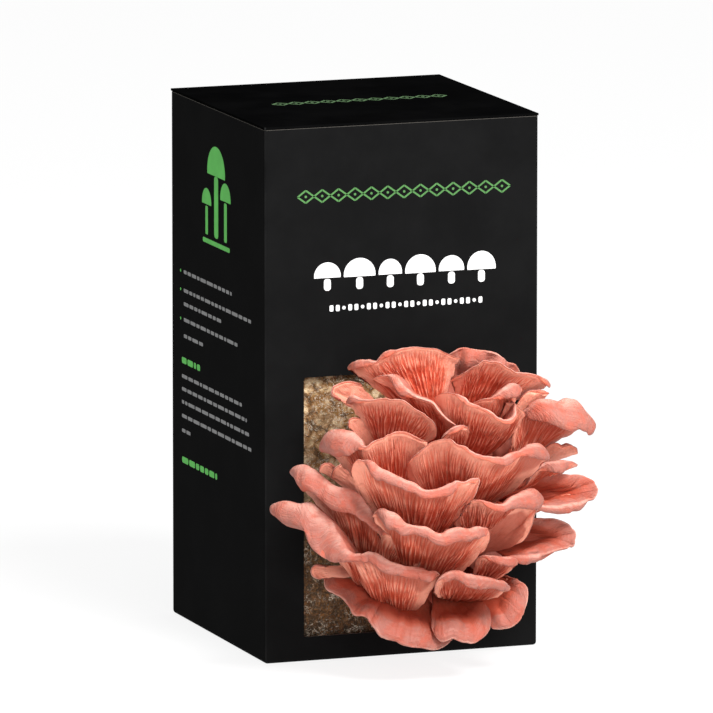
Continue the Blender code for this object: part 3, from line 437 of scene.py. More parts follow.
def flesh_look():
    """Pink oyster flesh: pale rims, coral gills with orange-red grooves; painted shade darkens the grooves
    and the flesh towards the stems, and painted highlights run along the gill ridges and rim crests.
    """
    look = Look("oyster_flesh", Subsurface_Weight=0.10, Subsurface_Radius=(1.0, 0.30, 0.16),
                Subsurface_Scale=0.0022, Specular_IOR_Level=0.27)
    tone = look.attribute("tone")
    rim, groove_shade, deep_shade = [look.node("ShaderNodeSeparateColor", {}, {0: tone}, part) for part in range(3)]
    gilled = look.attribute("tone", "Alpha")
    along_rim, run, whose = look.split(look.attribute("fan", "Vector"))
    where = look.place()
    height = look.split(where)[2]
    patches = look.noise(where, 60.0, 3.0, 0.55)
    blotches = look.noise(where, 190.0, 4.0, 0.62)
    grain = look.noise(where, 1000.0, 3.0, 0.6)
    dips = look.noise(where, 105.0, 3.0, 0.55, 0.5)

    def fanned(across, outwards, own, distortion, moved=0.0, detail=3.0, roughness=0.6):
        """Noise that follows the cap's fan and differs from cap to cap."""
        spot = look.vector(along_rim * across + whose * moved, run * outwards, whose * own)
        return look.noise(spot, 1.0, detail, roughness, distortion)

    streaks = fanned(0.9, 0.10, 9.0, 0.6, moved=40.0, detail=4.0)
    veins = fanned(0.42, 0.26, 17.0, 1.5)
    breaks = fanned(0.55, 0.40, 23.0, 0.8)
    rays = fanned(0.16, 0.024, 3.0, 0.0, moved=7.0, detail=2.0, roughness=0.5)
    broad = fanned(0.30, 0.09, 5.0, 1.0, moved=11.0)
    wrinkles = fanned(0.13, 0.75, 31.0, 0.7)
    calm = 1.0 - deep_shade * (1.0 - gilled) * 0.75

    top = look.mix(patches.rise(0.32, 0.68), (0.410, 0.070, 0.035), (0.460, 0.116, 0.074))
    top = look.mix(streaks.rise(0.42, 0.70) * calm * 0.20, top, (0.430, 0.070, 0.038))
    # The gilled side takes a much brighter colour than the top side and rim; part of that is painted light,
    # making up for the shade the gills stand in while the tops face the lamp.
    blade = look.mix(patches.rise(0.35, 0.65), (0.860, 0.190, 0.106), (0.880, 0.255, 0.160))
    # Painted highlight along the gill ridges, and painted shade in the grooves between them.
    ridge = (1.0 - groove_shade.rise(0.10, 0.55)) * gilled * (1.0 - rim.rise(0.1, 0.3))
    cut = groove_shade.rise(0.25, 0.85) * (0.40 + rays * 0.45 + breaks.rise(0.35, 0.62) * 0.38).least(1.0)
    worn = broad.rise(0.50, 0.72) * (1.0 - gilled * 0.7) * calm
    colour = look.layers(
        look.mix(gilled, top, blade),
        (ridge * 0.85, (0.980, 0.420, 0.295)),
        (cut, (0.560, 0.064, 0.028)),
        # Painted shade: the flesh darkens towards the stems, below folded lips and inside the dished caps.
        (deep_shade.rise(0.26, 0.86) * 0.66, (0.365, 0.038, 0.014)),
        (rim.rise(0.20, 0.75) * 0.88, (0.356, 0.134, 0.103)),
        # A painted highlight along the crest of each rim.
        (rim.rise(0.85, 1.0) * 0.80, (0.700, 0.350, 0.280)),
        (worn * 0.34, (0.430, 0.078, 0.042)),
        (dips.rise(0.44, 0.66) * (1.0 - gilled * 0.8) * 0.62, (0.450, 0.084, 0.046)),
        (blotches.rise(0.50, 0.72) * 0.46, (0.470, 0.090, 0.050)),
        (veins.rise(0.56, 0.72) * rim * 0.40, (0.470, 0.086, 0.050)),
        (wrinkles.rise(0.52, 0.68) * rim * 0.34, (0.560, 0.235, 0.175)),
    )
    # Lighter higher up: painted light, as on caps lit from above; the rest is tone that differs from cap to
    # cap and a fine grain.
    shade = 0.80 + height.rise(0.02, 0.15) * 0.20 + whose * 0.10 + grain * 0.14 - 0.07
    look.feed(Base_Color=look.tint(colour, shade), Roughness=0.42 + blotches * 0.26)
    lengthwise = streaks * (0.4 - rim * 0.3) + broad * (0.7 - rim * 0.5)
    puckers = wrinkles * rim * 1.5 + veins * (0.3 + rim * 0.5)
    look.bump(lengthwise * calm + puckers + blotches * 0.6 + grain * 0.25, 0.80, 0.0007)
    return look.material


def base_look():
    """Fused stems at the root of the cluster: pale pink, with painted shade darkening the furrows."""
    look = Look("fused_stem_flesh", Specular_IOR_Level=0.3)
    where = look.place()
    furrows = look.noise(look.stretch(where, (1.0, 1.0, 0.25)), 260.0, 4.0, 0.6)
    patches = look.noise(where, 60.0, 3.0, 0.5)
    grain = look.noise(where, 1100.0, 3.0, 0.6)
    colour = look.mix(patches.rise(0.35, 0.7), (0.340, 0.070, 0.042), (0.520, 0.170, 0.120))
    # Painted shade in the furrows.
    colour = look.mix(furrows.rise(0.45, 0.65) * 0.7, colour, (0.190, 0.030, 0.016))
    look.feed(Base_Color=colour, Roughness=0.55 + grain * 0.2)
    look.bump(furrows * 0.8 + grain * 0.2, 0.7, 0.0008)
    return look.material


def board_look(name, black, mottled, gloss, has_window):
    """Matt black printed board: a fine tooth, greyer where it is folded, pale where a wall is cut, and
    painted shade darkening every face but the front.
    """
    look = Look(name, Specular_IOR_Level=gloss)
    where = look.place()
    x, y, z = look.split(where)
    tooth = look.noise(where, *BOARD_TOOTH)
    clouds = look.noise(where, 38.0, 4.0, 0.6)
    fibres = look.noise(look.stretch(where, (1.0, 1.0, 0.2)), 900.0, 3.0, 0.65)
    side_fold = abs(x).past(CARTON_WIDTH / 2 - 1.1, CARTON_WIDTH / 2 - 0.1)
    face_fold = abs(y).past(CARTON_DEPTH / 2 - 1.1, CARTON_DEPTH / 2 - 0.1)
    low_fold = 1.0 - z.past(0.1, 1.2)
    fold = (side_fold * face_fold).most(low_fold * side_fold.most(face_fold))
    worn = fold * (clouds * 0.7 + tooth * 0.6).rise(0.45, 0.95)
    colour = look.mix(clouds.rise(0.3, 0.75), black, mottled)
    # Painted shade: every face but the front is darker, as the sides away from the lamp.
    on_front = 1.0 - y.past(FRONT + 0.5, FRONT + 1.5)
    colour = look.tint(colour, 0.74 + on_front * 0.26)
    colour = look.mix(worn * 0.55, colour, (0.040, 0.040, 0.041))
    if has_window:
        inside = FRONT + BOARD
        in_wall = y.past(FRONT + 0.06, FRONT + 0.14) * (1.0 - y.past(inside - 0.1, inside - 0.04))
        near_window = ((1.0 - abs(x).past(WINDOW_RIGHT + 0.1, WINDOW_RIGHT + 0.3))
                       * z.past(WINDOW_BOTTOM - 0.3, WINDOW_BOTTOM - 0.1)
                       * (1.0 - z.past(WINDOW_TOP + 0.1, WINDOW_TOP + 0.3)))
        wall_top = CARTON_HEIGHT - BOARD
        cut = (in_wall * near_window).most(z.past(wall_top - 0.42, wall_top - 0.32))
        colour = look.mix(cut * (0.75 + fibres * 0.4), colour, (0.135, 0.125, 0.112))
    look.feed(Base_Color=colour, Roughness=0.58 + clouds * 0.12 + tooth * 0.10)
    look.bump(tooth * 0.6 + fibres * 0.4, 0.25, 0.00012)
    return look.material


def ink_look(name, ink):
    """Flat printing ink that lets the board's tooth through."""
    look = Look(name, Specular_IOR_Level=0.12)
    where = look.place()
    tooth = look.noise(where, *BOARD_TOOTH)
    clouds = look.noise(where, 120.0, 3.0, 0.6)
    thin = [value * 0.80 for value in ink]
    colour = look.mix((clouds * 0.6 + tooth * 0.5).rise(0.35, 0.75), thin, ink)
    look.feed(Base_Color=colour, Roughness=0.48 + tooth * 0.16)
    look.bump(tooth, 0.2, 0.0001)
    return look.material


def block_look():
    """Sawdust and grain bound by white mycelium: pebbly, creamy white to gold, browner lower down, with
    painted shadow near the window's top and bottom edges.
    """
    look = Look("mycelium_block", Specular_IOR_Level=0.25)
    where = look.place()
    z = look.split(where)[2]
    wander = look.noise(where, 95.0, 3.0, 0.55)
    warped = look.warp(where, 300.0, 2.0, 0.5, 0.0045)
    pebbles = look.cells(warped, 240.0)
    crumbs = look.cells(warped, 620.0)
    dust = look.noise(where, 1500.0, 4.0, 0.65)
    colony = look.noise(where, 42.0, 4.0, 0.6)
    grown = (colony * 1.2 + z * 6.0 + dust * 0.15).rise(0.98, 1.36)
    wood = look.mix(crumbs.rise(0.1, 0.6), (0.160, 0.064, 0.016), (0.036, 0.015, 0.004))
    threads = look.mix(wander.rise(0.40, 0.62), (0.720, 0.530, 0.310), (0.250, 0.120, 0.030))
    colour = look.layers(
        look.mix(grown, wood, threads),
        (pebbles.rise(0.30, 0.60) * (0.25 + grown * 0.65), (0.190, 0.074, 0.012)),
        (pebbles.rise(0.56, 0.80) * 0.80, (0.040, 0.018, 0.006)),
        ((1.0 - crumbs.rise(0.05, 0.30)) * grown * 0.6, (0.780, 0.700, 0.560)),
    )
    # Painted shadow, broken up in patches, near the window's top and bottom edges.
    edges = z.past(WINDOW_TOP - 5.0, WINDOW_TOP).most(1.0 - z.past(WINDOW_BOTTOM, 20.0))
    shade = 1.0 - edges * 0.62 * wander.rise(0.25, 0.60)
    look.feed(Base_Color=look.tint(colour, shade), Roughness=0.72 + dust * 0.2)
    look.bump(crumbs * -0.6 + dust * 0.5, 0.9, 0.0010)
    return look.material


def film_look():
    """Clear crinkled film: almost invisible where it is smooth, with painted highlights where it is creased,
    painted glints and thin painted bright threads.
    """
    look = Look("clear_bag_film", Specular_IOR_Level=0.6)
    where = look.place()
    crumple = look.cells(look.warp(where, 75.0, 4.0, 0.6, 0.022), 150.0, "DISTANCE_TO_EDGE")
    fine = look.noise(where, 330.0, 4.0, 0.65, 1.6)
    # Painted highlights and reflections: milky creases, glints and thin bright threads, whiter and less clear
    # than the film round them.
    crease_highlights = (1.0 - crumple.rise(0.0, 0.07)) * fine.rise(0.48, 0.66)
    glints = fine.rise(0.66, 0.73)
    squiggle = look.noise(where, 210.0, 3.0, 0.55, 2.2)
    spread = look.noise(where, 120.0, 2.0).rise(0.46, 0.60)
    threads = (1.0 - abs(squiggle - 0.5).rise(0.004, 0.020)) * spread
    white = crease_highlights.most(glints).most(threads)
    colour = look.mix(white, (0.36, 0.28, 0.18), (0.88, 0.78, 0.62))
    cloudy = 0.03 + crease_highlights * 0.22 + glints * 0.40 + threads * 0.40
    look.feed(Base_Color=colour, Alpha=cloudy, Roughness=0.08 + fine * 0.14)
    look.bump(crumple.rise(0.0, 0.30) * 0.7 + fine * 0.8, 0.9, 0.0012)
    return look.material


# Mesh helpers


def box_mesh(low, high):
    """A box between two corners, in mm."""
    mesh = bmesh.new()
    bmesh.ops.create_cube(mesh, size=1.0)
    size = [b - a for a, b in zip(low, high)]
    middle = [(a + b) / 2 for a, b in zip(low, high)]
    bmesh.ops.scale(mesh, vec=Vector(size) * MM, verts=mesh.verts)
    bmesh.ops.translate(mesh, vec=Vector(middle) * MM, verts=mesh.verts)
    return mesh


def is_upright(edge):
    run = edge.verts[1].co - edge.verts[0].co
    return abs(run.z) > 0.9 * run.length


def bevel_edges(mesh, chosen, radius, segments):
    bmesh.ops.bevel(mesh, geom=[edge for edge in mesh.edges if chosen(edge)], offset=radius * MM,
                    segments=segments, profile=0.5, affect="EDGES", material=-1)


def add_object(name, data):
    made = bpy.data.objects.new(name, data)
    bpy.context.scene.collection.objects.link(made)
    return made


def mesh_object(name, mesh, look):
    """An object with the shape of a bmesh, which is freed."""
    data = bpy.data.meshes.new(name)
    mesh.to_mesh(data)
    mesh.free()
    data.materials.append(look)
    return add_object(name, data)


def piece(name, mesh, look, body, smooth=True):
    """A finished piece of the scene, riding on a body."""
    made = mesh_object(name, mesh, look)
    if smooth:
        made.data.shade_smooth()
    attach(made, body)
    return made


# Mushrooms


def xyz(values):
    return np.array(values, dtype=float)


def place(across, up, out):
    """The point in metres of a place given along the line of sight; the lines meet at the camera."""
    beyond = out - SIGHT_OUT
    spot = xyz((across + SIGHT_ACROSS * beyond, FRONT - out, up + SIGHT_UP * beyond)) * MM
    spot = spot - xyz(CAMERA_TARGET)
    back = xyz(CAMERA_BACK)
    nearness = spot.dot(back)
    return xyz(CAMERA_TARGET) + spot - (spot - back * nearness) * (nearness / CAMERA_DISTANCE)


def unit(vectors):
    return vectors / np.maximum(np.linalg.norm(vectors, axis=-1, keepdims=True), 1e-12)


def smoothstep(shares):
    shares = np.clip(shares, 0, 1)
    return shares * shares * (3 - 2 * shares)


def along(points, shares):
    """A smooth curve through the points, read at shares of its length from 0 to 1."""
    reach = shares * (len(points) - 1)
    index = np.minimum(reach.astype(int), len(points) - 2)
    t = (reach - index)[:, None]
    before = points[np.maximum(index - 1, 0)]
    start, end = points[index], points[index + 1]
    after = points[np.minimum(index + 2, len(points) - 1)]
    leave, arrive = (end - before) * 0.5, (after - start) * 0.5
    return (start * (2 * t**3 - 3 * t**2 + 1) + leave * (t**3 - 2 * t**2 + t)
            + end * (3 * t**2 - 2 * t**3) + arrive * (t**3 - t**2))


def smoothed(rows):
    """Rows averaged with their neighbours along the rim."""
    padded = np.pad(rows, ((CALM, CALM), (0, 0)), mode="edge")
    total = np.cumsum(np.vstack((np.zeros((1, rows.shape[1])), padded)), axis=0)
    width = 2 * CALM + 1
    return (total[width:] - total[:-width]) / width


def rounded(controls, count):
    """Rows of a rounded profile that starts and ends on the first and last of its control rows."""
    points = [controls[0]] * 2 + list(controls) + [controls[-1]] * 2
    rows = []
    for position in np.linspace(0, len(points) - 3, count):
        index = min(int(position), len(points) - 4)
        t = position - index
        weights = ((1 - t)**3 / 6, (3 * t**3 - 6 * t**2 + 4) / 6,
                   (-3 * t**3 + 3 * t**2 + 3 * t + 1) / 6, t**3 / 6)
        rows.append(sum(weight * points[index + step] for step, weight in enumerate(weights)))
    return rows


class Mushroom:
    """One cap with its stem: a sheet of flesh that leaves a round stem and fans out to its rim."""

    def __init__(self, name, foot, size, outs, hollow, rim):
        self.name, self.size, self.hollow = name, size, hollow
        self.dished = name in DISHES
        self.dice = random.Random(name)
        self.foot = place(*foot)
        core = xyz((BASE_CENTRE[0], FRONT - ROOT_OUT, BASE_CENTRE[1])) * MM
        self.root = core + (self.foot - core) * xyz(ROOT_PULL)
        last = len(rim) - 1
        crest, lips = [], []
        for index, (across, up, lip) in enumerate(rim):
            share = index / last
            out = (outs[0] * (1 - share) * (1 - 2 * share) + outs[1] * 4 * share * (1 - share)
                   + outs[2] * share * (2 * share - 1))
            crest.append(place(across, up - 0.5 * min(lip, FLESH), out))
            lips.append((lip, 0, 0))
        self.crest, self.lips = xyz(crest), xyz(lips)
        self.length = np.linalg.norm(np.diff(self.crest, axis=0), axis=1).sum() / MM
        self.gills = max(12, round(self.length / GILL_PITCH))
        self.shares = np.linspace(0, 1, self.gills * STEPS_PER_GILL + 1)
        self.ends = np.minimum(self.shares, 1 - self.shares)[:, None]
        self.axis = unit(self.foot - self.root)
        span = self.crest[-1] - self.crest[0]
        self.side = unit(span - self.axis * span.dot(self.axis))
        self.under = unit(np.cross(self.side, self.axis))
        self.spread = [(self.crest[end] - self.foot).dot(self.side) for end in (0, -1)]

    def ring(self, radius, spread):
        turn = ((2 * self.shares - 1) * spread)[:, None]
        return (self.under * np.cos(turn) + self.side * np.sin(turn)) * radius * self.size * MM

    def sheet(self, runs):
        """The middle of the flesh: one row of points for each share of the rim, from the root to the rim."""
        crest = along(self.crest, self.shares)
        reach = crest - self.foot
        outward = unit(np.cross(self.side, reach))
        sideways = self.side * reach.dot(self.side)[:, None]
        neck = self.side * (self.spread[0] + (self.spread[1] - self.spread[0]) * self.shares)[:, None]
        handle = self.foot + self.ring(NECK_RING, NECK_SPREAD) + neck * NECK_FAN
        length = np.linalg.norm(reach, axis=1, keepdims=True)
        fan_start, fan_end = LOBED.get(self.name, (BLADE_FAN, BLADE_FAN))
        fan = (fan_start + (fan_end - fan_start) * self.shares)[:, None]
        far_handle = self.foot + reach * BLADE_REACH + sideways * fan - outward * self.hollow * length
        start = self.root + self.ring(STEM_RING, STEM_SPREAD)
        t = runs[None, :, None]
        s = 1 - t
        return (start[:, None] * s**3 + handle[:, None] * 3 * s * s * t
                + far_handle[:, None] * 3 * s * t * t + crest[:, None] * t**3)

    def flesh(self, runs):
        """Thickness of the flesh in metres, nothing at the two side edges."""
        rim = np.clip(along(self.lips, self.shares)[:, :1], 1.0, FLESH)
        stem, neck = STEM_FLESH * self.size, NECK_FLESH * self.size
        low = stem + (neck - stem) * smoothstep(runs / NECK_RUN)[None]
        high = neck + (rim - neck) * smoothstep((runs - NECK_RUN) / (1 - NECK_RUN))[None]
        puff = 0.35 + (MARGIN - 0.35) * self.swelling()
        high = high + puff * np.sin(math.pi * np.clip((runs - 0.62) / 0.40, 0, 1))[None]
        taper = np.sqrt(np.maximum(1 - (2 * self.shares - 1)**SIDE_POWER, 0))[:, None]
        return np.where(runs[None] < NECK_RUN, low, high) * taper * MM

    def spare(self):
        """How far the blade may wave at each place on the rim: not where it is very short."""
        reach = np.linalg.norm(along(self.crest, self.shares) - self.foot, axis=1, keepdims=True) / MM
        return smoothstep((reach - SHORTEST_BLADE) / (FULL_BLADE - SHORTEST_BLADE))

    def swelling(self):
        """How puffy the margin is along the rim, from 0 to 1."""
        if not self.dished:
            return np.zeros((len(self.shares), 1))
        grown = smoothstep((self.shares - SWELL_FROM.get(self.name, 0.0)) / 0.2)
        return smoothstep(self.ends / 0.16) * grown[:, None] * self.spare()

    def ridges(self, runs):
        """Height of the gills, 0 to 1, and how much of a gilled zone each place is."""
        drift = GILL_DRIFT * np.sin(self.shares * self.length * math.tau / GILL_DRIFT_LENGTH + self.length)
        phase = (self.shares * self.gills + drift)[:, None]
        height = np.zeros((len(self.shares), len(runs)))
        for every, first, start, wide, narrow in GILL_RANKS:
            number = np.round((phase - 0.5 - first) / every)
            away = np.abs(phase - 0.5 - first - number * every)
            begin = start + 0.05 * np.sin(number * 12.9898 + self.length)
            width = wide + (narrow - wide) * smoothstep((runs - start) / max(0.75 - start, 0.1))[None]
            grown = smoothstep((runs[None] - begin) / 0.09)
            uneven = 0.76 + 0.24 * np.sin(runs[None] * 37 + number * 5.3)
            height = np.maximum(height, grown * uneven * np.clip(1 - away / width, 0, 1))
        zone = smoothstep((LAST_GILL_RUN - runs[None]) / 0.06) * smoothstep((self.ends - 0.03) / 0.19)
        zone = zone * smoothstep((runs[None] - 0.06) / 0.10)
        if self.name in SMOOTH_CAPS:
            zone = zone * 0.12
        return height * zone, zone

    def waves(self, table, notched=False):
        """The sum of waves along the rim; a table row is (wavelength, height) in mm. Notches only cut in."""
        total = np.zeros_like(self.shares)
        place_on_rim = self.shares * self.length
        for wavelength, height in table:
            slow = np.sin(place_on_rim * math.tau / (wavelength * 3.7) + self.dice.uniform(0, 6))
            turn = place_on_rim * math.tau / wavelength + 1.6 * slow + self.dice.uniform(0, 6)
            beat = place_on_rim * math.tau / (wavelength * 2.6) + self.dice.uniform(0, 6)
            strength = 0.55 + 0.45 * np.sin(beat)
            if notched:
                cut = np.clip(1 - np.abs(np.sin(turn / 2)) * 1.8, 0, 1)
                total -= height * smoothstep(cut) * np.clip(strength * 2 - 0.8, 0, 1)
            else:
                total += height * np.sin(turn) * strength
        return total[:, None]

    def lumps(self, runs):
        """Uneven swellings over the sheet, in mm, which die out towards the cap's side edges."""
        reach = np.linalg.norm(self.crest[len(self.crest) // 2] - self.foot) / MM
        along_rim, outwards = (self.shares * self.length)[:, None], runs[None] * reach
        total = 0.0
        for wavelength, height in LUMPS:
            for _ in range(3):
                heading, start = self.dice.uniform(0, math.pi), self.dice.uniform(0, 6)
                path = along_rim * math.cos(heading) + outwards * math.sin(heading)
                total = total + height * np.sin(path * math.tau / wavelength + start)
        strength = BACK_LUMPS if self.name == BACK_CAP else 1.0 if self.dished else 0.4
        return total * strength * smoothstep(self.ends * self.length / 9)

    def ruffle(self, middle, runs, normal):
        """Lets the blade wave up and down towards its rim, and dies out at its two ends."""
        swing = self.waves(RUFFLES) * self.size**2 * np.sin(self.shares * math.pi)[:, None]**0.5
        if self.dished:
            swing = swing * 1.15
        swing = swing * smoothstep((runs[None] - 0.50) / 0.50)
        lumpy = smoothstep((runs[None] - 0.25) / 0.35) * smoothstep((1.02 - runs[None]) / 0.12)
        swing = swing + self.lumps(runs) * lumpy
        turn = runs[None] * 26 + self.dice.uniform(0, 6) + np.sign(self.shares - 0.5)[:, None]
        curl = np.sin(turn) * 0.7 + np.sin(turn * 2.3) * 0.35
        if self.dished:
            curl = curl * 0.25
        near_end = smoothstep(1 - self.ends * self.length / 6) * smoothstep((runs[None] - 0.35) / 0.35)
        swing = swing + curl * near_end * self.size**2
        swing = swing * self.spare()
        if self.dished:
            bulge = np.sin(math.pi * np.clip((runs[None] - 0.60) / 0.40, 0, 1))
            swing = swing - MARGIN_SWELL * self.swelling() * bulge
        return middle + normal * (swing * MM)[..., None]

    def blade(self, runs):
        """The waved middle of the flesh, its direction along the rim, and its gilled side's direction."""
        middle = self.sheet(runs)
        normal = unit(np.cross(np.gradient(middle, axis=0), np.gradient(middle, runs, axis=1)))
        middle = self.ruffle(middle, runs, normal)
        across = np.gradient(middle, axis=0)
        return middle, unit(across), unit(np.cross(across, np.gradient(middle, runs, axis=1)))

    def sway(self, runs):
        """How far each gill swings along the rim, in mm."""
        number = np.floor(self.shares * self.gills)[:, None]
        return sum(np.sin(runs[None] * rate + number * change) * size for rate, change, size in GILL_SWAY)

    def lip_rows(self, middle, normal, thick, gilled, top, furrows):
        """Rows of points over the lip, how far it is folded, and how much painted shadow its end casts on the
        gills below.
        """
        crest, face_out, wall = middle[:, -1], normal[:, -1], thick[:, -1]
        onward = unit(crest - middle[:, -2])
        lip = along(self.lips, self.shares)[:, :1]
        drop = np.maximum(lip - FLESH, 0)
        taper = self.flesh(np.array([1.0])) / (FLESH * MM)
        wave = self.waves(NOTCHES, notched=True) * MM * np.clip(taper, 0, 1)
        crest = crest + onward * wave * 0.7 * (1 - 0.9 * np.minimum(drop / 5, 1))
        inner = crest + face_out * wall * 0.5 - onward * wall * 0.3
        outer = crest + onward * wall * 0.5 - face_out * wall * 0.1
        calm_face = unit(smoothed(face_out))
        hang = unit(xyz(FOLD_DOWN) + calm_face * 0.5)
        face = unit(calm_face + unit(smoothed(onward)) * 0.8)
        face = unit(face - hang * (face * hang).sum(axis=1, keepdims=True))
        between = (inner + outer) / 2
        end = between + hang * drop * MM + face_out * wall * 0.4 * np.minimum(drop, 1)
        # Painted shadow on the gills just below a folded lip's end.
        sunk = ((gilled - crest[:, None]) * xyz(FOLD_DOWN)).sum(axis=2) / MM
        fold_shadow = np.minimum(drop / 2.5, 1) * smoothstep(1 - (sunk - drop) / FOLD_SHADOW_REACH)
        end = end + hang * wave * np.minimum(drop / 3, 1.0)
        edge = face * wall * 0.32
        clefts = self.waves(CLEFTS, notched=True)
        pucker = furrows * np.minimum(drop / 4, 1) * 0.25 + clefts * np.minimum(drop / 5, 1)
        roll = np.minimum(drop * ROLL, ROLL_LIMIT) + pucker
        upper_roll, lower_roll = [
            between + hang * drop * fall * MM + face * (wall * 0.32 + roll * swell * MM)
            for fall, swell in ((0.34, 0.70), (0.86, 1.05))]
        shoulder = crest - face_out * wall * 0.5 - onward * wall * 0.3
        controls = [gilled[:, -2], inner, end - edge, end + hang * wall * 0.18, end + edge,
                    lower_roll, upper_roll, outer, outer * 0.4 + shoulder * 0.6, shoulder, top[:, -1]]
        return rounded(controls, LIP_ROWS), np.minimum(drop / 3, 1), fold_shadow

    def lip_tones(self, folded):
        """A tone for each row over the lip, between those of an open and of a folded one."""
        tucked = np.maximum(folded, float(self.dished))
        tones = [(1.0 - tucked) * xyz(bare)[None] + tucked * xyz(rolled)[None]
                 for bare, rolled in zip(OPEN_LIP, FOLDED_LIP)]
        tones = rounded(tones, LIP_ROWS)
        # Painted shade on the hidden inner side of a folded lip.
        for row in range(1, LIP_ROWS // 3):
            tones[row] = tones[row] - folded * xyz(SHADE_BEHIND_THE_FOLD)[None]
        return tones

    def skin(self):
        """Rows of points round the flesh, gilled side, lip and top side, with each point's tone."""
        gill_runs, top_runs = [np.linspace(0, 1, count)**ROW_SPACING * LAST_GILL_RUN
                               for count in (GILL_ROWS, TOP_ROWS)]
        runs = np.concatenate((gill_runs, [1.0]))
        middle, across, normal = self.blade(runs)
        thick = self.flesh(runs)[..., None]
        height, zone = self.ridges(runs)
        gilled = middle + normal * thick / 2 + normal * ((height - 0.45 * zone) * GILL_HEIGHT * MM)[..., None]
        gilled += across * (self.sway(runs) * MM * zone)[..., None]
        nearest = [np.abs(runs - run).argmin() for run in top_runs]
        furrows = self.waves(FURROWS)
        furrow_depth = furrows * smoothstep((runs[nearest][None] - 0.45) / 0.4) * MM
        top = middle[:, nearest] - normal[:, nearest] * (thick[:, nearest] / 2 + furrow_depth[..., None])
        lip_points, folded, fold_shadow = self.lip_rows(middle, normal, thick, gilled, top, furrows)

        plain = np.ones_like(folded)
        margin, inside, stem = MARGINS.get(self.name, PLAIN_MARGIN)
        margin = margin + self.waves(UNEVEN_MARGIN)
        frill = smoothstep(1 - self.ends * self.length / 1.2)
        rows, colours = [], []
        for row, run in enumerate(gill_runs[:-1]):
            rows.append(gilled[:, row])
            # Painted shade in the grooves between the gills, fading towards the rim.
            groove_shade = (zone[:, row] * (1 - height[:, row] / np.maximum(zone[:, row], 0.05)))[:, None]
            groove_shade = groove_shade * (1 - 0.62 * smoothstep((run - 0.58) / 0.36))
            # Painted shade: darker towards the stem, below folded lips and inside the dished caps' margins.
            depth = np.maximum(plain * (1 - run)**1.3, fold_shadow[:, row, None] * 0.85)
            depth = np.maximum(depth, inside * smoothstep((margin - run) / 0.12))
            pale = plain * 0.20 * smoothstep((run - 0.88) / 0.08) + frill * 0.7
            colours.append(np.concatenate((pale, groove_shade, depth, plain), axis=1))
        rows += lip_points
        colours += self.lip_tones(folded)
        for row in range(TOP_ROWS - 2, -1, -1):
            run = top_runs[row]
            rows.append(top[:, row] if row else gilled[:, 0])
            pale = plain * 0.70 * smoothstep((run - margin) / 0.16)
            # Painted shade darkening the top side towards the stem and inside the margin.
            shade_at_stem = plain * stem * (1 - run)**0.75
            depth = np.maximum(shade_at_stem, inside * smoothstep((margin + 0.06 - run) / 0.14))
            colours.append(np.concatenate((pale, plain * 0, depth, plain * 0), axis=1))
        return np.stack(rows, axis=1), np.stack(colours, axis=1)


def mushroom_mesh(mushroom):
    """A closed skin made of the sections along the rim."""
    points, tones = mushroom.skin()
    steps = np.linalg.norm(np.diff(points, axis=1), axis=2) / MM
    reaches = np.concatenate((np.zeros((len(points), 1)), np.cumsum(steps, axis=1)), axis=1).tolist()
    face_line = xyz((0, FRONT, 0)) * MM
    points = face_line + (points - face_line) * xyz((DRAWN_IN, DRAWN_IN, 1))
    columns, rows = points.shape[0] - 1, points.shape[1] - 1
    mesh = bmesh.new()
    bmesh.ops.create_grid(mesh, x_segments=columns, y_segments=rows, size=1.0)
    tone_layer = mesh.verts.layers.float_color.new("tone")
    fan_layer = mesh.verts.layers.float_vector.new("fan")
    point_list, tone_list = points.tolist(), tones.tolist()
    whose = mushroom.dice.random()
    seams = []
    for vertex in mesh.verts:
        column = round((vertex.co.x + 1) / 2 * columns)
        row = round((vertex.co.y + 1) / 2 * rows)
        vertex.co = point_list[column][row]
        vertex[tone_layer] = tone_list[column][row]
        vertex[fan_layer] = (column / columns * mushroom.length, reaches[column][row], whose)
        if column in (0, columns) or row in (0, rows):
            seams.append(vertex)
    bmesh.ops.remove_doubles(mesh, verts=seams, dist=0.002 * MM)
    open_edges = [edge for edge in mesh.edges if edge.is_boundary]
    bmesh.ops.holes_fill(mesh, edges=open_edges)
    bmesh.ops.dissolve_degenerate(mesh, edges=mesh.edges, dist=0.0002 * MM)
    bmesh.ops.recalc_face_normals(mesh, faces=mesh.faces)
    return mesh


def make_mushrooms():
    look = flesh_look()
    for row in MUSHROOMS:
        mushroom = Mushroom(*row)
        made = piece(mushroom.name + "_flesh", mushroom_mesh(mushroom), look, KIT)
        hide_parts(mushroom.name)


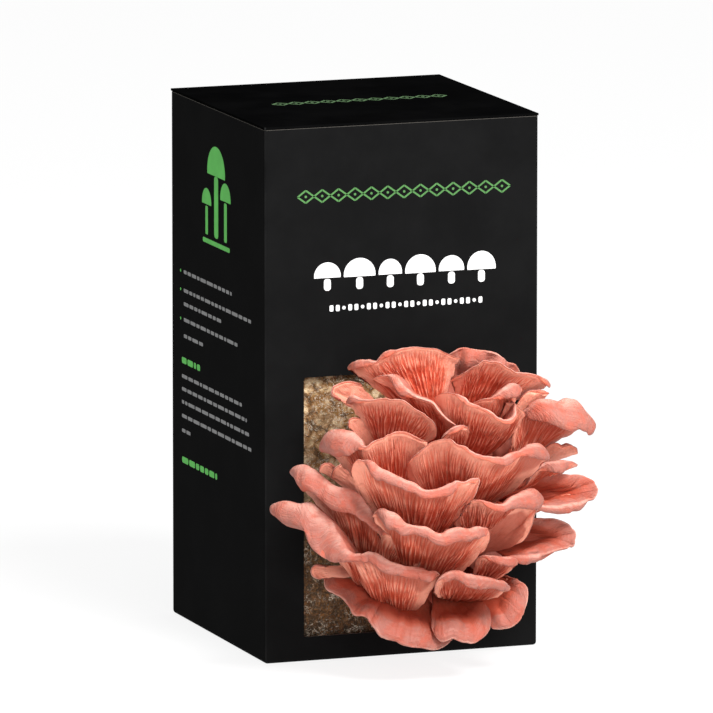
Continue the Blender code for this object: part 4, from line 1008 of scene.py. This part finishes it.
def make_base():
    """Half an ellipsoid of fused stems, furrowed from top to bottom, with lobes on its right and its ends."""
    mesh = bmesh.new()
    bmesh.ops.create_uvsphere(mesh, u_segments=160, v_segments=110, radius=MM)
    for vertex in mesh.verts:
        ball = vertex.co / MM
        furrow = noise.noise(Vector((ball.x * 5.0, ball.y * 5.0, ball.z * 1.6)))
        lump = noise.noise(ball * 3.1 + Vector((3.0, 7.0, 1.0)))
        vertex.co *= 0.955 + 0.030 * furrow + 0.012 * lump
    bmesh.ops.scale(mesh, vec=Vector(BASE_RADII), verts=mesh.verts)
    bmesh.ops.translate(mesh, vec=Vector((BASE_CENTRE[0], FRONT, BASE_CENTRE[1])) * MM, verts=mesh.verts)
    for x, z, out, radius in BASE_LOBES:
        grown = bmesh.ops.create_icosphere(mesh, subdivisions=5, radius=radius * MM)
        for vertex in grown["verts"]:
            vertex.co *= 1 + 0.06 * noise.noise(vertex.co / (radius * MM) * 2.2 + Vector((x, z, 0)))
        bmesh.ops.translate(mesh, vec=Vector((x, FRONT - out, z)) * MM, verts=grown["verts"])
    back = Vector((0, FRONT + BASE_BACK, 0)) * MM
    parts = mesh.verts[:] + mesh.edges[:] + mesh.faces[:]
    bmesh.ops.bisect_plane(mesh, geom=parts, plane_co=back, plane_no=(0, 1, 0), clear_outer=True)
    bmesh.ops.holes_fill(mesh, edges=[edge for edge in mesh.edges if edge.is_boundary])
    base = piece("fused_stems", mesh, base_look(), KIT)
    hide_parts("cluster_base")


# Block and bag


def make_block():
    """The pressed block: pebbled all round, more finely on the face behind the window."""
    mesh = box_mesh((-BLOCK_HALF_WIDTH, -BLOCK_HALF_DEPTH, BLOCK_FLOOR),
                    (BLOCK_HALF_WIDTH, BLOCK_HALF_DEPTH, BLOCK_TOP))
    bmesh.ops.subdivide_edges(mesh, edges=mesh.edges, cuts=50, use_grid_fill=True)
    face_line = (-BLOCK_HALF_DEPTH + 0.1) * MM
    front = [edge for edge in mesh.edges if all(vertex.co.y < face_line for vertex in edge.verts)]
    bmesh.ops.subdivide_edges(mesh, edges=front, cuts=2, use_grid_fill=True)
    mesh.normal_update()
    noise.seed_set(PEBBLE_SEED)
    moves = []
    for vertex in mesh.verts:
        spot = vertex.co * PER_METRE
        bent = spot + noise.noise_vector(spot / 4.0) * 1.6
        near, _ = noise.voronoi(bent / 4.6)
        small, _ = noise.voronoi(bent / 1.8 + Vector((9, 4, 2)))
        lump = noise.noise(spot / 17.0)
        depth = 0.10 + 0.95 * min(near[0], 1.0) + 0.35 * min(small[0], 1.0) + 0.5 * (lump + 1) / 2
        moves.append((vertex, vertex.normal * depth * MM))
    for vertex, move in moves:
        vertex.co -= move
    block = piece("pressed_block", mesh, block_look(), KIT)
    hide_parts("substrate_block")


def make_bag():
    """The clear bag: crinkled walls, a crumpled closed top, and the slit that the cluster stands in."""
    mesh = box_mesh((-BAG_HALF_WIDTH, -BAG_HALF_DEPTH, BAG_FLOOR),
                    (BAG_HALF_WIDTH, BAG_HALF_DEPTH, BAG_SHOULDER))
    top = [face for face in mesh.faces if face.normal.z > 0.9]
    grown = bmesh.ops.extrude_face_region(mesh, geom=top)
    bmesh.ops.delete(mesh, geom=top, context="FACES_ONLY")
    for item in grown["geom"]:
        if isinstance(item, bmesh.types.BMVert):
            ridge = math.copysign(BAG_RIDGE_HALF_WIDTH * MM, item.co.y)
            item.co = Vector((item.co.x * BAG_RIDGE_SHARE, ridge, BAG_TOP * MM))
    bevel_edges(mesh, is_upright, BAG_CORNER, 3)
    bmesh.ops.triangulate(mesh, faces=[face for face in mesh.faces if len(face.verts) > 4])
    for _ in range(6):
        long_edges = [edge for edge in mesh.edges if edge.calc_length() > FILM_STEP * MM]
        if not long_edges:
            break
        bmesh.ops.subdivide_edges(mesh, edges=long_edges, cuts=1, use_grid_fill=True)
    bmesh.ops.triangulate(mesh, faces=mesh.faces)
    mesh.normal_update()
    moves = []
    for vertex in mesh.verts:
        spot = vertex.co * PER_METRE
        fold = noise.noise(Vector((spot.x / 9.0, spot.y / 9.0, spot.z / 16.0)))
        _, centres = noise.voronoi(spot / 11.0)
        facet = (centres[0] - centres[1]).normalized().dot(spot / 11.0 - (centres[0] + centres[1]) / 2)
        ridge = max(0.0, 1.0 - abs(facet) * 3.5)
        headspace = max(0.0, (spot.z - BAG_SHOULDER) / (BAG_TOP - BAG_SHOULDER))
        out = 0.28 + 0.22 * fold + 0.28 * ridge + headspace * (2.2 * fold + 1.2 * ridge - 1.4)
        moves.append((vertex, vertex.normal * out * MM))
    for vertex, move in moves:
        vertex.co += move
    wide, tall = BASE_RADII[0] - SLIT_OVERLAP, BASE_RADII[2] - SLIT_OVERLAP
    slit = []
    for face in mesh.faces:
        spot = face.calc_center_median() / MM
        across, up = (spot.x - BASE_CENTRE[0]) / wide, (spot.z - BASE_CENTRE[1]) / tall
        if spot.y < -BAG_HALF_DEPTH + 1 and across**2 + up**2 < 1:
            slit.append(face)
    bmesh.ops.delete(mesh, geom=slit, context="FACES")
    bag = piece("crinkled_bag", mesh, film_look(), KIT)
    wall = bag.modifiers.new("Film", "SOLIDIFY")
    wall.thickness = BAG_FILM * MM
    wall.offset = -1
    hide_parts("grow_bag")


# Printing: thin plates of ink, drawn flat and then laid on their panel

INK_PROUD, INK_SUNK = 0.04, 0.06
# How far below its middle a dome is cut off, as a share of its height above it.
DOME_FOOT = 0.12


def front_panel(x, y):
    return Matrix(((1, 0, 0, x), (0, 0, -1, FRONT), (0, 1, 0, y), (0, 0, 0, 1)))


def left_panel(x, y):
    """x is measured forwards to the viewer's right, from the middle of the side."""
    return Matrix(((0, 0, -1, -CARTON_WIDTH / 2), (-1, 0, 0, -x), (0, 1, 0, y), (0, 0, 0, 1)))


def lid_panel(x, y):
    return Matrix(((1, 0, 0, x), (0, 1, 0, y), (0, 0, 1, CARTON_HEIGHT), (0, 0, 0, 1)))


class Print:
    """A drawing of flat shapes in mm, pressed onto one panel as ink of one colour."""

    def __init__(self, panel):
        self.panel, self.mesh = panel, bmesh.new()

    def press(self, shape, spot, turn=0.0, scale=(1.0, 1.0)):
        """Gives a flat shape its thickness and lays it on the panel."""
        grown = bmesh.ops.extrude_face_region(shape, geom=shape.faces[:])
        risen = [item for item in grown["geom"] if isinstance(item, bmesh.types.BMVert)]
        bmesh.ops.translate(shape, vec=(0, 0, INK_PROUD + INK_SUNK), verts=risen)
        bmesh.ops.translate(shape, vec=(0, 0, -INK_SUNK), verts=shape.verts)
        bmesh.ops.scale(shape, vec=(*scale, 1), verts=shape.verts)
        bmesh.ops.rotate(shape, matrix=Matrix.Rotation(math.radians(turn), 3, "Z"), verts=shape.verts)
        bmesh.ops.recalc_face_normals(shape, faces=shape.faces)
        bmesh.ops.transform(shape, matrix=Matrix.Scale(MM, 4) @ self.panel(*spot), verts=shape.verts)
        held = bpy.data.meshes.new("held")
        shape.to_mesh(held)
        shape.free()
        self.mesh.from_mesh(held)
        bpy.data.meshes.remove(held)

    def disc(self, spot, radius):
        shape = bmesh.new()
        bmesh.ops.create_circle(shape, cap_ends=True, segments=24, radius=radius)
        self.press(shape, spot)

    def bar(self, spot, width, height, corner, turn=0.0):
        shape = bmesh.new()
        bmesh.ops.create_grid(shape, x_segments=1, y_segments=1, size=0.5)
        bmesh.ops.scale(shape, vec=(width, height, 1), verts=shape.verts)
        bmesh.ops.bevel(shape, geom=shape.verts[:], offset=corner * height, segments=3, profile=0.5,
                        affect="VERTICES", material=-1)
        self.press(shape, spot, turn)

    def dome(self, spot, width, height):
        """The upper part of an ellipse, such as a mushroom's cap."""
        shape = bmesh.new()
        bmesh.ops.create_circle(shape, cap_ends=True, segments=40, radius=1.0)
        parts = shape.verts[:] + shape.edges[:] + shape.faces[:]
        bmesh.ops.bisect_plane(shape, geom=parts, plane_co=(0, -DOME_FOOT, 0), plane_no=(0, 1, 0),
                               clear_inner=True)
        self.press(shape, spot, 0.0, (width / 2, height / (1 + DOME_FOOT)))

    def finish(self, name, ink, body):
        return piece(name, self.mesh, ink, body, smooth=False)


def lozenges(drawing, left, right, middle, height, steps, stroke):
    """A row of thin lozenges that meet at their corners, with a dot in each."""
    pitch = (right - left) / steps
    rise = (height - stroke) / 2
    lean = math.degrees(math.atan2(rise, pitch / 2))
    length = math.hypot(rise, pitch / 2)
    for step in range(steps):
        x = left + pitch * (step + 0.5)
        for side in (-1, 1):
            for level in (-1, 1):
                spot = (x + side * pitch / 4, middle + level * rise / 2)
                drawing.bar(spot, length, stroke, 0.3, -side * level * lean)
        drawing.disc((x, middle), stroke * 0.75)


def words(drawing, left, right, z, height):
    """Plain bars of uneven length in a row, as blind text; the row's height on the panel is its seed."""
    dice = random.Random(z)
    x = left
    while x < right - 1.5:
        length = min(dice.uniform(3.0, 9.0), right - x)
        drawing.bar((x + length / 2, z), length, height, 0.35)
        x += length + 1.3


def make_prints():
    green = ink_look("green_ink", (0.085, 0.440, 0.070))
    front_green = ink_look("front_green_ink", (0.079, 0.209, 0.065))
    lid_green = ink_look("lid_green_ink", (0.060, 0.130, 0.048))
    white = ink_look("white_ink", (0.800, 0.800, 0.790))
    grey = ink_look("grey_ink", (0.200, 0.200, 0.200))

    band = Print(front_panel)
    lozenges(band, -51, 53, 217.0, 6.6, 13, 0.80)
    band.finish("front_green_print", front_green, KIT)

    pictures = Print(front_panel)
    widths = (13.0, 15.5, 11.5, 15.0, 12.5, 14.0)
    x = -43.0
    gap = (89.0 - sum(widths)) / (len(widths) - 1)
    for index, width in enumerate(widths):
        centre = x + width / 2
        height = 8.6 if index % 2 else 7.2
        pictures.dome((centre, 179.6), width, height)
        pictures.bar((centre, 175.6), 3.4, 5.6, 0.25)
        x += width + gap
    for index in range(25):
        x = -34.5 + index * (73.0 / 24)
        if index % 3 == 2:
            pictures.disc((x, 164.5), 0.85)
        else:
            pictures.bar((x, 164.5), 1.9, 2.9, 0.2)
    pictures.finish("front_white_print", white, KIT)

    emblem = Print(left_panel)
    for x, z, width, height, stalk in ((0.0, 219.0, 25.0, 14.0, 5.6), (-13.5, 203.5, 13.0, 7.6, 3.4),
                                       (13.0, 208.5, 14.5, 8.6, 3.8)):
        emblem.dome((x - 1.5, z), width, height)
        foot = 188.5
        emblem.bar((x - 1.5, (z - 1.6 + foot) / 2), stalk, z - 1.6 - foot, 0.06)
    emblem.bar((-1.5, 185.6), 38.0, 2.2, 0.45)
    for z, length in ((123.6, 26.0), (76.2, 50.0)):
        words(emblem, -51.0, -51.0 + length, z, 2.9)
    for z in (165.8, 157.0, 143.1):
        emblem.disc((-52.5, z), 0.7)
    emblem.finish("side_green_print", green, KIT)

    lines = Print(left_panel)
    rows = ((165.8, -48, 20), (157.0, -48, 47), (150.6, -48, 7), (143.1, -48, 28), (135.4, -48, -18),
            (116.0, -51, 34), (109.9, -51, 41), (103.7, -51, 44), (97.1, -51, 48), (90.1, -51, -39))
    for z, left, right in rows:
        words(lines, left, right, z, 1.7)
    lines.finish("side_grey_print", grey, KIT)

    lid_band = Print(lid_panel)
    lozenges(lid_band, -39.5, 46.5, 1.0, 9.0, 11, 1.1)
    lid_band.finish("lid_green_print", lid_green, LID)


# Stage, light and camera

LIGHT_AIM = Vector((0.0, -0.1, 0.1))


def make_floor():
    mesh = bmesh.new()
    bmesh.ops.create_grid(mesh, x_segments=1, y_segments=1, size=12.0)
    look = Look("pale_floor", Base_Color=(0.16, 0.16, 0.16, 1), Roughness=0.9, Specular_IOR_Level=0.0,
                Emission_Color=(1.0, 1.0, 1.0, 1), Emission_Strength=0.85)
    mesh_object("floor", mesh, look.material)


def area_light(name, spot, size, power):
    data = bpy.data.lights.new(name, "AREA")
    data.shape = "DISK"
    data.size = size
    data.energy = power
    light = add_object(name, data)
    light.location = spot
    light.rotation_euler = (Vector(spot) - LIGHT_AIM).to_track_quat("Z", "Y").to_euler()


def make_light():
    world = bpy.data.worlds.new("studio")
    world.use_nodes = True
    backdrop = world.node_tree.nodes["Background"]
    backdrop.inputs["Color"].default_value = (1.0, 1.0, 1.0, 1)
    backdrop.inputs["Strength"].default_value = 0.62
    bpy.context.scene.world = world
    area_light("key", (0.35, -1.30, 1.55), 0.8, 60.0)
    area_light("fill", (-0.2, -2.0, 0.55), 0.9, 13.0)


def make_camera():
    data = bpy.data.cameras.new("camera")
    data.sensor_width = 36
    data.lens = CAMERA_LENS
    data.shift_x, data.shift_y = CAMERA_SHIFT
    data.clip_end = 50
    camera = add_object("camera", data)
    right = (CAMERA_RIGHT - CAMERA_BACK * CAMERA_RIGHT.dot(CAMERA_BACK)).normalized()
    up = CAMERA_BACK.cross(right)
    columns = (right, up, CAMERA_BACK, CAMERA_TARGET + CAMERA_BACK * CAMERA_DISTANCE)
    rows = [[column[axis] for column in columns] for axis in range(3)]
    camera.matrix_world = Matrix((*rows, (0, 0, 0, 1)))
    bpy.context.scene.camera = camera
    bpy.context.scene.view_settings.view_transform = "Standard"


def dress(node, look):
    """Gives a carried-over CAD node its finish."""
    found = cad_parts[node]
    found.data.materials.clear()
    found.data.materials.append(look)


make_camera()
make_light()
make_floor()
dress("carton", board_look("black_carton", (0.0057, 0.0057, 0.0058), (0.0075, 0.0075, 0.0076), 0.003, True))
# The lid's board takes a darker black than the carton's: painted shade on the top.
dress("lid", board_look("black_lid", (0.0018, 0.0018, 0.0019), (0.0030, 0.0030, 0.0031), 0.0, False))
make_block()
make_bag()
make_base()
make_mushrooms()
make_prints()
